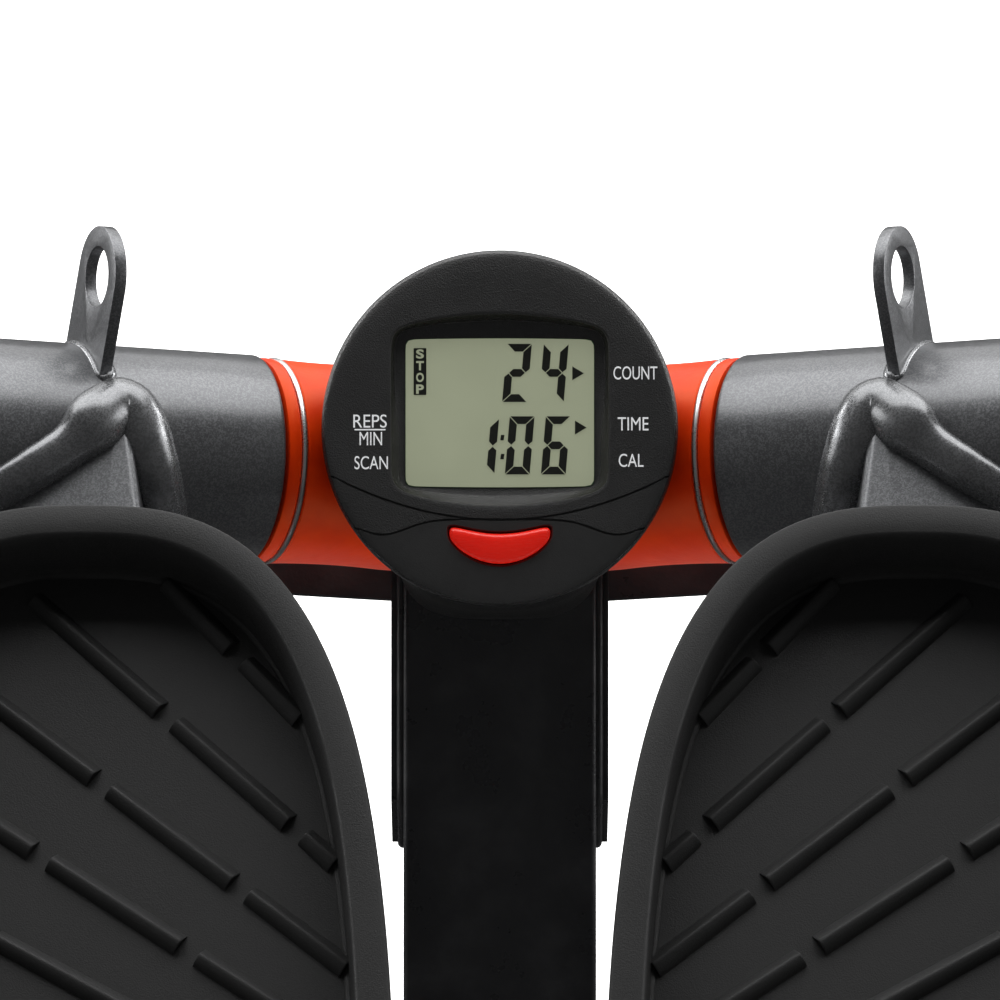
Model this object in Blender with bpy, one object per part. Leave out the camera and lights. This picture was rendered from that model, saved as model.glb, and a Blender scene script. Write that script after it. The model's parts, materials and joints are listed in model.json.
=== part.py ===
"""Mini twist stepper: two pedals on arms that turn on a V-shaped pair of tilted axles.

Every size is in metres. +X is the user's right, +Y points away from the user, +Z is up.
The origin is on the floor, under the middle of the whole machine.

The upright leans forward, away from the user, and carries the axle yoke, the round monitor and,
on its far side, the rocker bar that makes one pedal rise as the other falls. Each arm is a sleeve
on its axle, with a square tube welded to it that carries a pedal. A hydraulic cylinder stands
between each arm and the front stabiliser.
"""

from math import cos, pi, radians, sin

import bmesh
import bpy
from mathutils import Matrix, Vector

GAP = 0.0003  # clearance between two pieces that touch

# ---- driving dimensions -------------------------------------------------------------------------
HUB = Vector((0.0, 0.1774, 0.162))  # where the two axle lines cross
POST_LEAN = radians(45)  # the upright's slope above the floor
POST_WIDTH = 0.051
POST_WALL = 0.002
POST_CORNER = 0.0016
POST_TOP = -0.008  # along the upright, from the hub
CHEEK_THICK = 0.003
CHEEK_BOTTOM = -0.0985

AXLE_SWEEP = radians(24)  # each axle's turn towards the user, out of the upright's side-to-side line
AXLE_RISE = radians(2.8)  # and its turn up along the upright
STUB_RADIUS = 0.022
STUB_LENGTH = 0.064
SHAFT_RADIUS = 0.012
SHAFT_LENGTH = 0.150
SHAFT_BORE = 0.007

SLEEVE_RADIUS = 0.0277
SLEEVE_WALL = 0.0045
SLEEVE_START = 0.0725  # distances along the axle, from the hub
SLEEVE_END = 0.166
COLLAR_RADIUS = 0.0270
RING_AT = 0.0671

FLOOR_CLEAR = 0.008  # underside of the base tubes above the floor
BASE_HEIGHT = 0.030
BEAM_WIDTH = 0.050
STABILISER_DEPTH = 0.040
FRONT_STABILISER_Y = HUB.y - 0.100
REAR_STABILISER_Y = HUB.y - 0.355
FRONT_HALF_SPAN = 0.165
REAR_HALF_SPAN = 0.130

MONITOR_UP = 0.0114  # monitor face centre, along the upright and out from it
MONITOR_OUT = 0.058
MONITOR_RADIUS = 0.0460
SCREEN_SIZE = (0.0520, 0.0410)
SCREEN_CENTRE_UP = 0.0045
BUTTON_TRAVEL = 0.0015
BUTTON_BACK = -0.0088  # rear of the button's flange, behind the face

ARM_ALONG = 0.1255  # where the arm tube leaves its sleeve, along the axle
ARM_DROP = radians(62)  # arm tube's turn from straight out of the upright down towards the floor
ARM_TUBE = 0.038
ARM_WALL = 0.002
ARM_CORNER = 0.0024
ARM_LIFT = 0.0034  # arm tube's centre line above the axle's
ARM_ROLL = radians(25)
ARM_LENGTH = 0.150
EYELET_ALONG = 0.1213
EYELET_LEAN = radians(21)
EYELET_TWIST = radians(2.7)

PEDAL_HALF_WIDTH = 0.0787
PEDAL_HALF_LENGTH = 0.153
PEDAL_POWERS = (2.7, 3.5)  # of the outline, across and along: 2 is an ellipse, more is squarer
PEDAL_TAPER = 0.144  # how much narrower the outline gets, from the middle to the toe
PEDAL_RIM = 0.010
PEDAL_DEPTH = 0.0195
PEDAL_FLOOR = 0.0045
PEDAL_SLOPE = radians(18)
PEDAL_X = 0.102
PEDAL_TOE = (-0.0077, 0.1144)  # toe rim: along the upright and out from it, from the hub

ROCKER_UP = -0.0225  # rocker bar's pivot, along the upright from the hub
ROCKER_REACH = 0.075
ROCKER_THICK = 0.008
ROCKER_STANDOFF = 0.0040
ROCKER_JOURNAL = 0.0070
ROCKER_PIN_RADIUS = 0.0040
ROCKER_SLOT_REACH = 0.0022
ROCKER_SLOT_CLEAR = 0.0017

CYLINDER_ALONG = 0.095
CYLINDER_REACH = 0.090  # upper pin's distance from the axle, along the arm
CYLINDER_DROP = 0.0352  # upper pin's distance below the arm tube's centre line
CYLINDER_LENGTH = 0.086  # between its two pins
CYLINDER_LEAN = radians(8)
BARREL_RADIUS = 0.015
BARREL_TOP = 0.055
ROD_RADIUS = 0.005
ROD_FOOT = 0.028  # underside of the piston, above the lower pin
EYE_RADIUS = 0.0085
ROD_EYE_RADIUS = 0.0107
ROD_EYE_BORE = 0.0079
PIN_RADIUS = 0.0042
EAR_RADIUS = 0.0085
BRACKET_HALF = 0.0125
BRACKET_THICK = 0.0030


# ---- frames -------------------------------------------------------------------------------------
def frame(origin, x, y, z):
    """A placement from its origin and three unit axes."""
    turn = Matrix((x, y, z)).transposed().to_4x4()
    return Matrix.Translation(origin) @ turn


def moved(base, x=0.0, y=0.0, z=0.0):
    return base @ Matrix.Translation((x, y, z))


def upright_frame():
    """X to the user's right, Y up along the upright, Z out of its face towards the user."""
    up = Vector((0, cos(POST_LEAN), sin(POST_LEAN)))
    out = Vector((0, -sin(POST_LEAN), cos(POST_LEAN)))
    return frame(HUB, Vector((1, 0, 0)), up, out)


def axle_frame(post):
    """The left axle's frame: Z outwards along the axle, Y up, X towards the user."""
    right, up, out = (post.col[i].to_3d() for i in range(3))
    z = -cos(AXLE_SWEEP) * cos(AXLE_RISE) * right + sin(AXLE_SWEEP) * cos(AXLE_RISE) * out
    z += sin(AXLE_RISE) * up
    y = (up - up.dot(z) * z).normalized()
    return frame(HUB, y.cross(z), y, z)


def arm_frame(axle):
    """X outwards along the axle, Y along the arm tube away from the sleeve, Z its upper side."""
    x, y, z = (axle.col[i].to_3d() for i in range(3))
    along = cos(ARM_DROP) * x - sin(ARM_DROP) * y
    up = z.cross(along)
    return frame(axle @ Vector((0, 0, ARM_ALONG)) + ARM_LIFT * up, z, along, up)


def pedal_frame(post):
    """X to the right, Y from heel to toe, Z out of the tread; the origin is mid-tread, at rim height."""
    toe = post @ Vector((-PEDAL_X, *PEDAL_TOE))
    forward = Vector((0, cos(PEDAL_SLOPE), sin(PEDAL_SLOPE)))
    up = Vector((0, -sin(PEDAL_SLOPE), cos(PEDAL_SLOPE)))
    return frame(toe - PEDAL_HALF_LENGTH * forward, Vector((1, 0, 0)), forward, up)


def cylinder_frame(arm):
    """The left cylinder: origin at its lower pin, Z up its rod, X outwards along both pins."""
    sideways = CYLINDER_ALONG - ARM_ALONG
    upper = arm @ Vector((sideways, CYLINDER_REACH, -CYLINDER_DROP))
    leaning = arm.to_3x3() @ Matrix.Rotation(CYLINDER_LEAN, 3, "X")
    x, along, up = (leaning.col[i] for i in range(3))
    return frame(upper - CYLINDER_LENGTH * up, x, along, up)


# ---- materials ----------------------------------------------------------------------------------
def material(name, colour, metallic, roughness):
    made = bpy.data.materials.get(name) or bpy.data.materials.new(name)
    made.use_nodes = True
    made.diffuse_color = (*colour, 1)
    shader = made.node_tree.nodes["Principled BSDF"]
    shader.inputs["Base Color"].default_value = (*colour, 1)
    shader.inputs["Metallic"].default_value = metallic
    shader.inputs["Roughness"].default_value = roughness
    return made


def black_paint():
    return material("black_paint", (0.012, 0.012, 0.014), 0.1, 0.35)


def grey_paint():
    return material("grey_paint", (0.16, 0.165, 0.175), 0.7, 0.35)


def black_plastic():
    return material("black_plastic", (0.020, 0.021, 0.023), 0.0, 0.5)


def pedal_plastic():
    return material("pedal_plastic", (0.025, 0.025, 0.026), 0.0, 0.55)


def orange_plastic():
    return material("orange_plastic", (0.95, 0.10, 0.015), 0.0, 0.35)


def red_plastic():
    return material("red_plastic", (0.70, 0.015, 0.015), 0.0, 0.25)


def rubber():
    return material("rubber", (0.015, 0.015, 0.015), 0.0, 0.8)


def chrome():
    return material("chrome", (0.80, 0.80, 0.82), 1.0, 0.12)


def steel():
    return material("steel", (0.55, 0.55, 0.57), 1.0, 0.3)


def nylon():
    return material("nylon", (0.60, 0.60, 0.56), 0.0, 0.5)


def lcd_glass():
    return material("lcd_glass", (0.33, 0.37, 0.27), 0.0, 0.2)


def board_green():
    return material("board_green", (0.02, 0.16, 0.06), 0.0, 0.5)


# ---- shapes -------------------------------------------------------------------------------------
def node(name, mesh, place, look):
    """A named object from a mesh, placed, with its material and smooth shading."""
    obj = bpy.data.objects.new(name, mesh)
    bpy.context.scene.collection.objects.link(obj)
    obj.matrix_world = place
    if look:
        mesh.materials.append(look)
    mesh.shade_smooth()
    mesh.set_sharp_from_angle(angle=radians(35))
    return obj


def to_mesh(bm, name):
    bmesh.ops.recalc_face_normals(bm, faces=bm.faces)
    mesh = bpy.data.meshes.new(name)
    bm.to_mesh(mesh)
    bm.free()
    return mesh


def lathe(name, profile, place, look, segments=32):
    """Turns a closed (radius, height) outline about the frame's Z axis."""
    bm = bmesh.new()
    rings = []
    for radius, height in profile:
        if radius < 1e-6:
            rings.append([bm.verts.new((0, 0, height))])
            continue
        turns = (2 * pi * k / segments for k in range(segments))
        rings.append([bm.verts.new((radius * cos(a), radius * sin(a), height)) for a in turns])
    for low, high in zip(rings, rings[1:] + rings[:1]):
        if len(low) == 1 and len(high) == 1:
            continue
        for k in range(segments):
            corners = [low[k % len(low)], low[(k + 1) % len(low)]]
            corners += [high[(k + 1) % len(high)], high[k % len(high)]]
            bm.faces.new(list(dict.fromkeys(corners)))
    return node(name, to_mesh(bm, name), place, look)


def solid_rod(radius, low, high):
    return [(0, low), (radius, low), (radius, high), (0, high)]


def hollow_rod(outer, inner, low, high):
    return [(outer, low), (outer, high), (inner, high), (inner, low)]


def prism(name, loops, low, high, place, look):
    """Extrudes one outline, and any holes listed after it, from low to high along Z."""
    bm = bmesh.new()
    edges = []
    for loop in loops:
        verts = [bm.verts.new((x, y, low)) for x, y in loop]
        edges += [bm.edges.new(pair) for pair in zip(verts, verts[1:] + verts[:1])]
    bmesh.ops.triangle_fill(bm, edges=edges, use_beauty=True)
    bmesh.ops.dissolve_limit(bm, angle_limit=0.01, verts=bm.verts, edges=bm.edges)
    grown = bmesh.ops.extrude_face_region(bm, geom=list(bm.faces))
    tops = [item for item in grown["geom"] if isinstance(item, bmesh.types.BMVert)]
    bmesh.ops.translate(bm, verts=tops, vec=(0, 0, high - low))
    return node(name, to_mesh(bm, name), place, look)


def box(name, low, high, place, look):
    corners = [(low[0], low[1]), (high[0], low[1]), (high[0], high[1]), (low[0], high[1])]
    return prism(name, [corners], low[2], high[2], place, look)


def loft(name, loops, place, look):
    """Joins outlines of (x, y, z) points, one after another, and closes both ends."""
    bm = bmesh.new()
    rings = [[bm.verts.new(point) for point in loop] for loop in loops]
    for low, high in zip(rings, rings[1:]):
        for k in range(len(low)):
            after = (k + 1) % len(low)
            bm.faces.new((low[k], low[after], high[after], high[k]))
    bm.faces.new(rings[0])
    bm.faces.new(rings[-1])
    return node(name, to_mesh(bm, name), place, look)


def circle(radius, count=40, centre=(0.0, 0.0)):
    turns = (2 * pi * k / count for k in range(count))
    return [(centre[0] + radius * cos(a), centre[1] + radius * sin(a)) for a in turns]


def rounded(width, height, radius, steps=5, centre=(0.0, 0.0)):
    """A rectangle with round corners, anticlockwise from its right side."""
    points = []
    for quarter, (sx, sy) in enumerate(((1, 1), (-1, 1), (-1, -1), (1, -1))):
        mid = (centre[0] + sx * (width / 2 - radius), centre[1] + sy * (height / 2 - radius))
        for step in range(steps + 1):
            a = pi / 2 * (quarter + step / steps)
            points.append((mid[0] + radius * cos(a), mid[1] + radius * sin(a)))
    return points


def pedal_outline(inset, count=56):
    """The tray's outline, drawn in by the inset: a superellipse that tapers towards its toe end."""
    half_width, half_length = PEDAL_HALF_WIDTH - inset, PEDAL_HALF_LENGTH - inset
    across, along = PEDAL_POWERS
    points = []
    for k in range(count):
        a = 2 * pi * (k + 0.5) / count
        c, s = cos(a), sin(a)
        x = half_width * abs(c) ** (2 / across) * (1 if c > 0 else -1)
        y = half_length * abs(s) ** (2 / along) * (1 if s > 0 else -1)
        points.append((x * (1 - PEDAL_TAPER * toe_share(y / PEDAL_HALF_LENGTH)), y))
    return points


def toe_share(along):
    """0 behind the middle and the share of the way to the toe ahead of it, eased where they meet."""
    ease = 0.3
    if abs(along) > ease:
        return max(0.0, along)
    return (along + ease) ** 2 / (4 * ease)


def capsule(reach, radius, steps=5):
    """A slot outline along X: two half circles a reach apart on each side of the middle."""
    points = []
    for side in (1, -1):
        for step in range(steps + 1):
            a = pi * (step / steps - 0.5) + (0 if side > 0 else pi)
            points.append((side * reach + radius * cos(a), radius * sin(a)))
    return points


def soften(obj, width, segments=2):
    bevel = obj.modifiers.new("soft_edges", "BEVEL")
    bevel.width = width
    bevel.segments = segments
    bevel.limit_method = "ANGLE"
    bevel.angle_limit = radians(40)
    return obj


def helper(obj):
    """Marks a cutter: it shapes another piece and isn't one itself."""
    obj.hide_render = True
    obj.display_type = "WIRE"
    return obj


def combine(obj, other, operation):
    change = obj.modifiers.new(f"{operation.lower()}_{other.name}", "BOOLEAN")
    change.operation = operation
    change.solver = "EXACT"
    change.object = helper(other)
    return obj


def cut(obj, *cutters):
    for cutter in cutters:
        combine(obj, cutter, "DIFFERENCE")
    return obj


def join(obj, *others):
    for other in others:
        combine(obj, other, "UNION")
    return obj


# ---- assembly helpers ---------------------------------------------------------------------------
def pivot(name, place):
    """An empty on a joint's axis, which the moving pieces hang from."""
    empty = bpy.data.objects.new(name, None)
    empty.empty_display_size = 0.02
    bpy.context.scene.collection.objects.link(empty)
    empty.matrix_world = place
    return empty


def hang(pieces, empty):
    bpy.context.view_layer.update()
    for piece in pieces:
        piece.parent = empty
        piece.matrix_parent_inverse = empty.matrix_world.inverted()


def right_copy(left):
    """The right-hand twin of a left-hand piece: its finished mesh, reflected in the middle plane."""
    bpy.context.view_layer.update()
    finished = left.evaluated_get(bpy.context.evaluated_depsgraph_get())
    name = left.name.replace("left", "right")
    mesh = bpy.data.meshes.new_from_object(finished)
    mesh.name = name
    mesh.transform(Matrix.Scale(-1, 4, (1, 0, 0)) @ left.matrix_world)
    mesh.flip_normals()
    twin = bpy.data.objects.new(name, mesh)
    bpy.context.scene.collection.objects.link(twin)
    return twin


# ---- base ---------------------------------------------------------------------------------------
def build_beam():
    """Rectangular tube along the floor, between the two stabilisers."""
    rear = REAR_STABILISER_Y + STABILISER_DEPTH / 2 + GAP
    front = FRONT_STABILISER_Y - STABILISER_DEPTH / 2 - GAP
    lying = Matrix.Rotation(radians(-90), 4, "X")
    middle = FLOOR_CLEAR + BASE_HEIGHT / 2
    place = Matrix.Translation((0, rear, middle)) @ lying
    outer = rounded(BEAM_WIDTH, BASE_HEIGHT, 0.004, 3)
    inner = rounded(BEAM_WIDTH - 0.004, BASE_HEIGHT - 0.004, 0.002, 3)
    return prism("main_beam", [outer, inner], 0, front - rear, place, black_paint())


def build_stabiliser(end, y, half_span):
    """Cross tube with open ends, each closed by a rubber-soled foot cap."""
    middle = FLOOR_CLEAR + BASE_HEIGHT / 2
    across = Matrix.Translation((-half_span, y, middle)) @ Matrix.Rotation(radians(90), 4, "Y")
    outer = rounded(BASE_HEIGHT, STABILISER_DEPTH, 0.006, 3)
    inner = rounded(BASE_HEIGHT - 0.004, STABILISER_DEPTH - 0.004, 0.004, 3)
    tube = prism(f"{end}_stabiliser", [outer, inner], 0, 2 * half_span, across, black_paint())
    return [tube] + [build_foot(end, side, y, half_span) for side in ("left", "right")]


def build_foot(end, side, y, half_span):
    """End cap: a cup round the tube's end, a plug inside it, and a flat sole on the floor."""
    out = -1 if side == "left" else 1
    length, wall = 0.030, 0.003
    top = FLOOR_CLEAR + BASE_HEIGHT + wall
    middle = top / 2
    turn = Matrix.Rotation(radians(90) * out, 4, "Y")
    place = Matrix.Translation((out * (half_span - length + wall + 0.002), y, middle)) @ turn
    outline = rounded(top, STABILISER_DEPTH + 2 * wall, 0.007, 3)
    foot = prism(f"foot_{end}_{side}", [outline], 0, length, place, rubber())
    shift = (FLOOR_CLEAR + BASE_HEIGHT / 2 - middle) * -out
    socket = rounded(BASE_HEIGHT + 2 * GAP, STABILISER_DEPTH + 2 * GAP, 0.006, 4, (shift, 0))
    cutter = prism(f"socket_{end}_{side}", [socket], -0.01, length - wall, place, None)
    return soften(cut(foot, cutter), 0.0012, 1)


def build_lower_bracket(cylinder):
    """Two ears on a foot plate, square to the cylinder's tilted lower pin, and the pin itself."""
    level = FLOOR_CLEAR + BASE_HEIGHT + GAP
    base = cylinder.translation
    upright = Matrix.Identity(4)
    low = (base.x - 0.016, base.y - 0.013, level)
    high = (base.x + 0.016, base.y + 0.013, level + BRACKET_THICK)
    bracket = box("cylinder_bracket_left", low, high, upright, black_paint())
    pin_place = pin_frame(cylinder)
    join(bracket, *ears("lower_ear", pin_place, -0.030))
    below = box("below_bracket", (-0.3, -0.3, -0.1), (0.3, 0.3, level), upright, None)
    hole = lathe("lower_hole", solid_rod(PIN_RADIUS + GAP, -0.03, 0.03), pin_place, None, 24)
    cut(bracket, below, hole)
    return [bracket, build_pin("cylinder_pin_left", pin_place)]


def pin_frame(place):
    """The same origin, with Z along the pins: outwards along the axle."""
    x, y, z = (place.col[i].to_3d() for i in range(3))
    return frame(place.translation, y, z, x)


def ears(name, place, foot):
    """Two round-ended plates, one at each end of a pin, reaching along Y to foot."""
    turn = 1 if foot < 0 else -1
    reach = EAR_RADIUS * turn
    outline = [(reach * cos(a), reach * sin(a)) for a in (pi * k / 10 for k in range(11))]
    outline += [(-reach, foot), (reach, foot)]
    inner, outer = BRACKET_HALF - BRACKET_THICK, BRACKET_HALF
    plates = ((f"{name}_inner", -outer, -inner), (f"{name}_outer", inner, outer))
    return [prism(plate, [outline], low, high, place, None) for plate, low, high in plates]


def build_pin(name, place):
    """Headed clevis pin through both ears."""
    end = BRACKET_HALF + 0.0025
    head = BRACKET_HALF + GAP
    profile = [(0, -end), (PIN_RADIUS - 0.0006, -end), (PIN_RADIUS, -end + 0.0006), (PIN_RADIUS, head)]
    profile += [(PIN_RADIUS + 0.0025, head), (PIN_RADIUS + 0.0025, end), (0, end)]
    return lathe(name, profile, place, steel(), 24)


# ---- upright and axles --------------------------------------------------------------------------
def stub_cutter(name, axle, radius, low=-0.02, high=0.09):
    return lathe(name, solid_rod(radius, low, high), axle, None)


def both_stub_cutters(name, axle, radius, high=0.09):
    left = stub_cutter(f"{name}_left", axle, radius, high=high)
    right = stub_cutter(f"{name}_right", mirrored_frame(axle), radius, high=high)
    return left, right


def mirrored_frame(place):
    """The right-hand twin of a left-hand frame, kept right-handed by reversing its first axis."""
    return Matrix.Scale(-1, 4, (1, 0, 0)) @ place @ Matrix.Scale(-1, 4, (1, 0, 0))


def lengthwise(post):
    """X out of the upright's face, Y to the right, Z up along it."""
    x, y, z = (post.col[i].to_3d() for i in range(3))
    return frame(post.translation, z, x, y)


def build_upright(post, axle):
    """Square tube cut level at its foot, with a saddle at its top for the axle yoke."""
    inside = POST_WIDTH - 2 * POST_WALL
    loops = [rounded(POST_WIDTH, POST_WIDTH, POST_CORNER, 4), rounded(inside, inside, 0.001, 4)]
    tube = prism("upright_post", loops, -0.26, POST_TOP, lengthwise(post), black_paint())
    level = FLOOR_CLEAR + BASE_HEIGHT + GAP
    below = box("below_post", (-0.1, -0.3, -0.3), (0.1, 0.3, level), Matrix.Identity(4), None)
    return cut(tube, below, *both_stub_cutters("post_saddle", axle, STUB_RADIUS + GAP))


def build_cheek(post, axle):
    """Plate welded to the upright's side, under the axle stub."""
    far, near, foot, top = -0.020, 0.022, CHEEK_BOTTOM, -0.006
    corner = 0.012
    outline = [(near, top), (far, top), (far, foot + corner), (far + corner, foot)]
    outline += [(near - corner, foot), (near, foot + corner)]
    x, y, z = (post.col[i].to_3d() for i in range(3))
    place = moved(frame(post.translation, z, y, -x), z=POST_WIDTH / 2 + GAP)
    plate = prism("cheek_plate_left", [outline], 0, CHEEK_THICK, place, black_paint())
    return soften(cut(plate, stub_cutter("cheek_saddle", axle, STUB_RADIUS + GAP)), 0.0008, 1)


def build_yoke(post, axle):
    """Both axles in one welded piece, with a block that fills the top of the upright."""
    width = POST_WIDTH - 2 * POST_WALL - 2 * GAP
    inside = lengthwise(post)
    block = prism("axle_yoke", [rounded(width, width, 0.003, 4)], -0.060, -0.004, inside, steel())
    pocket = prism("yoke_pocket", [rounded(0.036, 0.036, 0.003, 2)], -0.07, -0.030, inside, None)
    bore, depth = SHAFT_BORE, 0.030
    profile = [(0, -0.008), (STUB_RADIUS, -0.008), (STUB_RADIUS, STUB_LENGTH), (SHAFT_RADIUS, STUB_LENGTH)]
    profile += [(SHAFT_RADIUS, SHAFT_LENGTH), (bore, SHAFT_LENGTH), (bore, depth), (0, depth)]
    axles = [lathe("left_axle", profile, axle, None, 28)]
    axles.append(lathe("right_axle", profile, mirrored_frame(axle), None, 28))
    return join(cut(block, pocket), *axles)


def build_axle_bolt(axle):
    """Flanged bolt in the end of the axle: it keeps the sleeve on."""
    start = SHAFT_LENGTH + GAP
    flange, head = start + 0.0025, start + 0.009
    shank = SHAFT_BORE - GAP
    profile = [(0, SHAFT_LENGTH - 0.020), (shank, SHAFT_LENGTH - 0.020), (shank, start), (0.019, start)]
    profile += [(0.019, flange), (0.0105, flange + 0.0005), (0.0105, head - 0.001), (0.009, head)]
    profile += [(0, head)]
    return lathe("axle_bolt_left", profile, axle, steel(), 24)


def build_collar(axle):
    """Tapered plastic sleeve over the fixed part of the axle, grooved for its trim ring."""
    start, end = 0.030, SLEEVE_START - 0.001
    groove = (RING_AT - 0.0008, RING_AT + 0.0008)
    slim = COLLAR_RADIUS - 0.0008
    profile = [(STUB_RADIUS + 0.0004, start), (slim - 0.0006, start), (slim, groove[0] - 0.012)]
    profile += [(COLLAR_RADIUS, groove[0]), (slim - 0.0002, groove[0]), (slim - 0.0002, groove[1])]
    profile += [(COLLAR_RADIUS, groove[1]), (COLLAR_RADIUS, end - 0.0006), (slim, end)]
    profile += [(STUB_RADIUS + 0.0004, end)]
    collar = lathe("hub_collar_left", profile, axle, orange_plastic(), 32)
    side = POST_WIDTH / 2 + CHEEK_THICK + 2 * GAP
    clear = box("collar_clear", (-side, -0.08, -0.08), (side, 0.08, 0.08), upright_frame(), None)
    return cut(collar, clear)


def build_trim_ring(axle):
    inner, outer = COLLAR_RADIUS - 0.0007, COLLAR_RADIUS + 0.0003
    profile = hollow_rod(outer, inner, RING_AT - 0.0005, RING_AT + 0.0005)
    return lathe("trim_ring_left", profile, axle, chrome(), 32)


# ---- monitor ------------------------------------------------------------------------------------
def neck_outline(half_width, half_height, centre, power, z, count):
    points = []
    for k in range(count):
        a = 2 * pi * k / count
        reach = (abs(cos(a) / half_width) ** power + abs(sin(a) / half_height) ** power) ** (-1 / power)
        points.append((reach * cos(a), centre + reach * sin(a), z))
    return points


def build_rear_shell(monitor, axle):
    """Round housing that narrows to a neck, saddled over the hub and against the upright."""
    count = 44
    back = -(MONITOR_OUT - POST_WIDTH / 2 - GAP)
    r = MONITOR_RADIUS
    loops = [
        neck_outline(r - 0.0004, r - 0.0004, 0, 2.0, -0.0062, count),
        neck_outline(r - 0.0010, r - 0.0010, 0, 2.0, -0.0120, count),
        neck_outline(r - 0.0050, r - 0.0015, -0.003, 2.2, -0.0190, count),
        neck_outline(0.0300, 0.0385, -0.0105, 3.0, -0.0275, count),
        neck_outline(0.0285, 0.0370, -0.0130, 3.6, back, count),
    ]
    shell = loft("monitor_rear_shell", loops, monitor, black_plastic())
    pocket = [rounded(0.059, 0.046, 0.004, 4, (0, SCREEN_CENTRE_UP))]
    cutters = [prism("board_pocket", pocket, -0.0136, 0.01, monitor, None)]
    well = BUTTON_BACK - BUTTON_TRAVEL - 0.0017
    cutters.append(prism("button_pocket", [bean(0.0024)], well, 0.01, monitor, None))
    cutters += both_stub_cutters("monitor_saddle", axle, COLLAR_RADIUS + 2 * GAP, high=0.0722)
    return cut(shell, *cutters)


def build_front_shell(monitor):
    """Domed face with the screen's opening and the button's."""
    r = MONITOR_RADIUS
    profile = [(0, -0.0059), (r - 0.0003, -0.0059), (r, -0.0045), (r - 0.0007, -0.0022)]
    profile += [(r - 0.0026, -0.0007), (r - 0.0065, 0), (0, 0)]
    shell = lathe("monitor_front_shell", profile, monitor, black_plastic(), 44)
    opening = [rounded(*SCREEN_SIZE, 0.005, 4, (0, SCREEN_CENTRE_UP))]
    screen = prism("screen_opening", opening, -0.01, 0.01, monitor, None)
    button = prism("button_opening", [bean(0.0004)], -0.01, 0.01, monitor, None)
    return cut(shell, screen, button)


def bean(grow=0.0, count=9):
    """The button's outline: an arc that sags in the middle, thick there and round at its ends."""
    half, thick, sag, centre = 0.0130, 0.0040, 0.0026, -0.0287
    upper, lower = [], []
    for k in range(count + 1):
        a = pi * k / count
        x = (half + grow) * cos(a)
        middle = centre - sag * (1 - (x / half) ** 2)
        depth = (thick + grow) * sin(a) ** 0.7
        upper.append((x, middle + depth))
        lower.append((x, middle - depth))
    return upper + lower[-2:0:-1]


def build_button(monitor):
    """Push button with a flange behind the face that keeps it in."""
    button = prism("reset_button", [bean()], -0.0075, 0.0009, monitor, red_plastic())
    flange = prism("button_flange", [bean(0.0014)], BUTTON_BACK, -0.0064, monitor, None)
    return soften(join(button, flange), 0.0006, 1)


def build_display(monitor):
    """Clear lens, display panel and circuit board, one behind the other."""
    width, height = SCREEN_SIZE
    middle = (0, SCREEN_CENTRE_UP)
    lens = [rounded(width - 0.0006, height - 0.0006, 0.0046, 4, middle)]
    panel = [rounded(width - 0.0012, height - 0.0012, 0.004, 2, middle)]
    board = [rounded(0.056, 0.043, 0.002, 2, middle)]
    return [
        prism("lcd_lens", lens, -0.0034, -0.0022, monitor, lcd_glass()),
        prism("lcd_panel", panel, -0.0062, -0.0038, monitor, nylon()),
        prism("circuit_board", board, -0.0082, -0.0066, monitor, board_green()),
    ]


# ---- rocker -------------------------------------------------------------------------------------
def far_face(post):
    """The rocker's pivot, on the upright's far face: X to the left, Y up along it, Z away from it."""
    x, y, z = (post.col[i].to_3d() for i in range(3))
    return frame(post @ Vector((0, ROCKER_UP, -POST_WIDTH / 2)), -x, y, -z)


def build_rocker(far):
    """See-saw bar with a slot at each end for the arms' pins."""
    half, mid, end = ROCKER_REACH + 0.010, 0.013, 0.0095
    outline = [(-half + 0.004, -end), (-0.020, -mid), (0.020, -mid), (half - 0.004, -end)]
    outline.append((half, -end + 0.004))
    outline += [(half, end - 0.004), (half - 0.004, end), (0.020, mid), (-0.020, mid), (-half + 0.004, end)]
    outline += [(-half, end - 0.004), (-half, -end + 0.004)]
    slots = []
    for side in (-1, 1):
        slot = capsule(ROCKER_SLOT_REACH, ROCKER_PIN_RADIUS + ROCKER_SLOT_CLEAR)
        slots.append([(x + side * ROCKER_REACH, y) for x, y in slot])
    loops = [outline, circle(ROCKER_JOURNAL + GAP, 24)] + slots
    low = ROCKER_STANDOFF
    bar = prism("rocker_bar", loops, low, low + ROCKER_THICK, far, black_paint())
    return soften(bar, 0.0006, 1)


def build_rocker_pivot(far):
    """Journal welded to the upright, and the bolt that keeps the bar on it."""
    seat, top = ROCKER_STANDOFF - GAP, ROCKER_STANDOFF + ROCKER_THICK + GAP
    profile = [(0.0033, GAP), (0.011, GAP), (0.011, seat), (ROCKER_JOURNAL, seat), (ROCKER_JOURNAL, top)]
    profile += [(0.0033, top)]
    journal = lathe("rocker_journal", profile, far, steel(), 24)
    low, head = top + GAP, top + 0.0045
    profile = [(0, 0.001), (0.003, 0.001), (0.003, low), (0.011, low), (0.011, head - 0.001)]
    profile.append((0.0095, head))
    profile += [(0, head)]
    return [journal, lathe("rocker_bolt", profile, far, steel(), 24)]


# ---- arms ---------------------------------------------------------------------------------------
def build_sleeve(axle):
    inner, chamfer = SLEEVE_RADIUS - SLEEVE_WALL, 0.0008
    profile = [(inner, SLEEVE_START), (SLEEVE_RADIUS - chamfer, SLEEVE_START)]
    profile += [(SLEEVE_RADIUS, SLEEVE_START + chamfer), (SLEEVE_RADIUS, SLEEVE_END - chamfer)]
    profile += [(SLEEVE_RADIUS - chamfer, SLEEVE_END), (inner, SLEEVE_END)]
    return lathe("sleeve_left", profile, axle, grey_paint(), 36)


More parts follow.
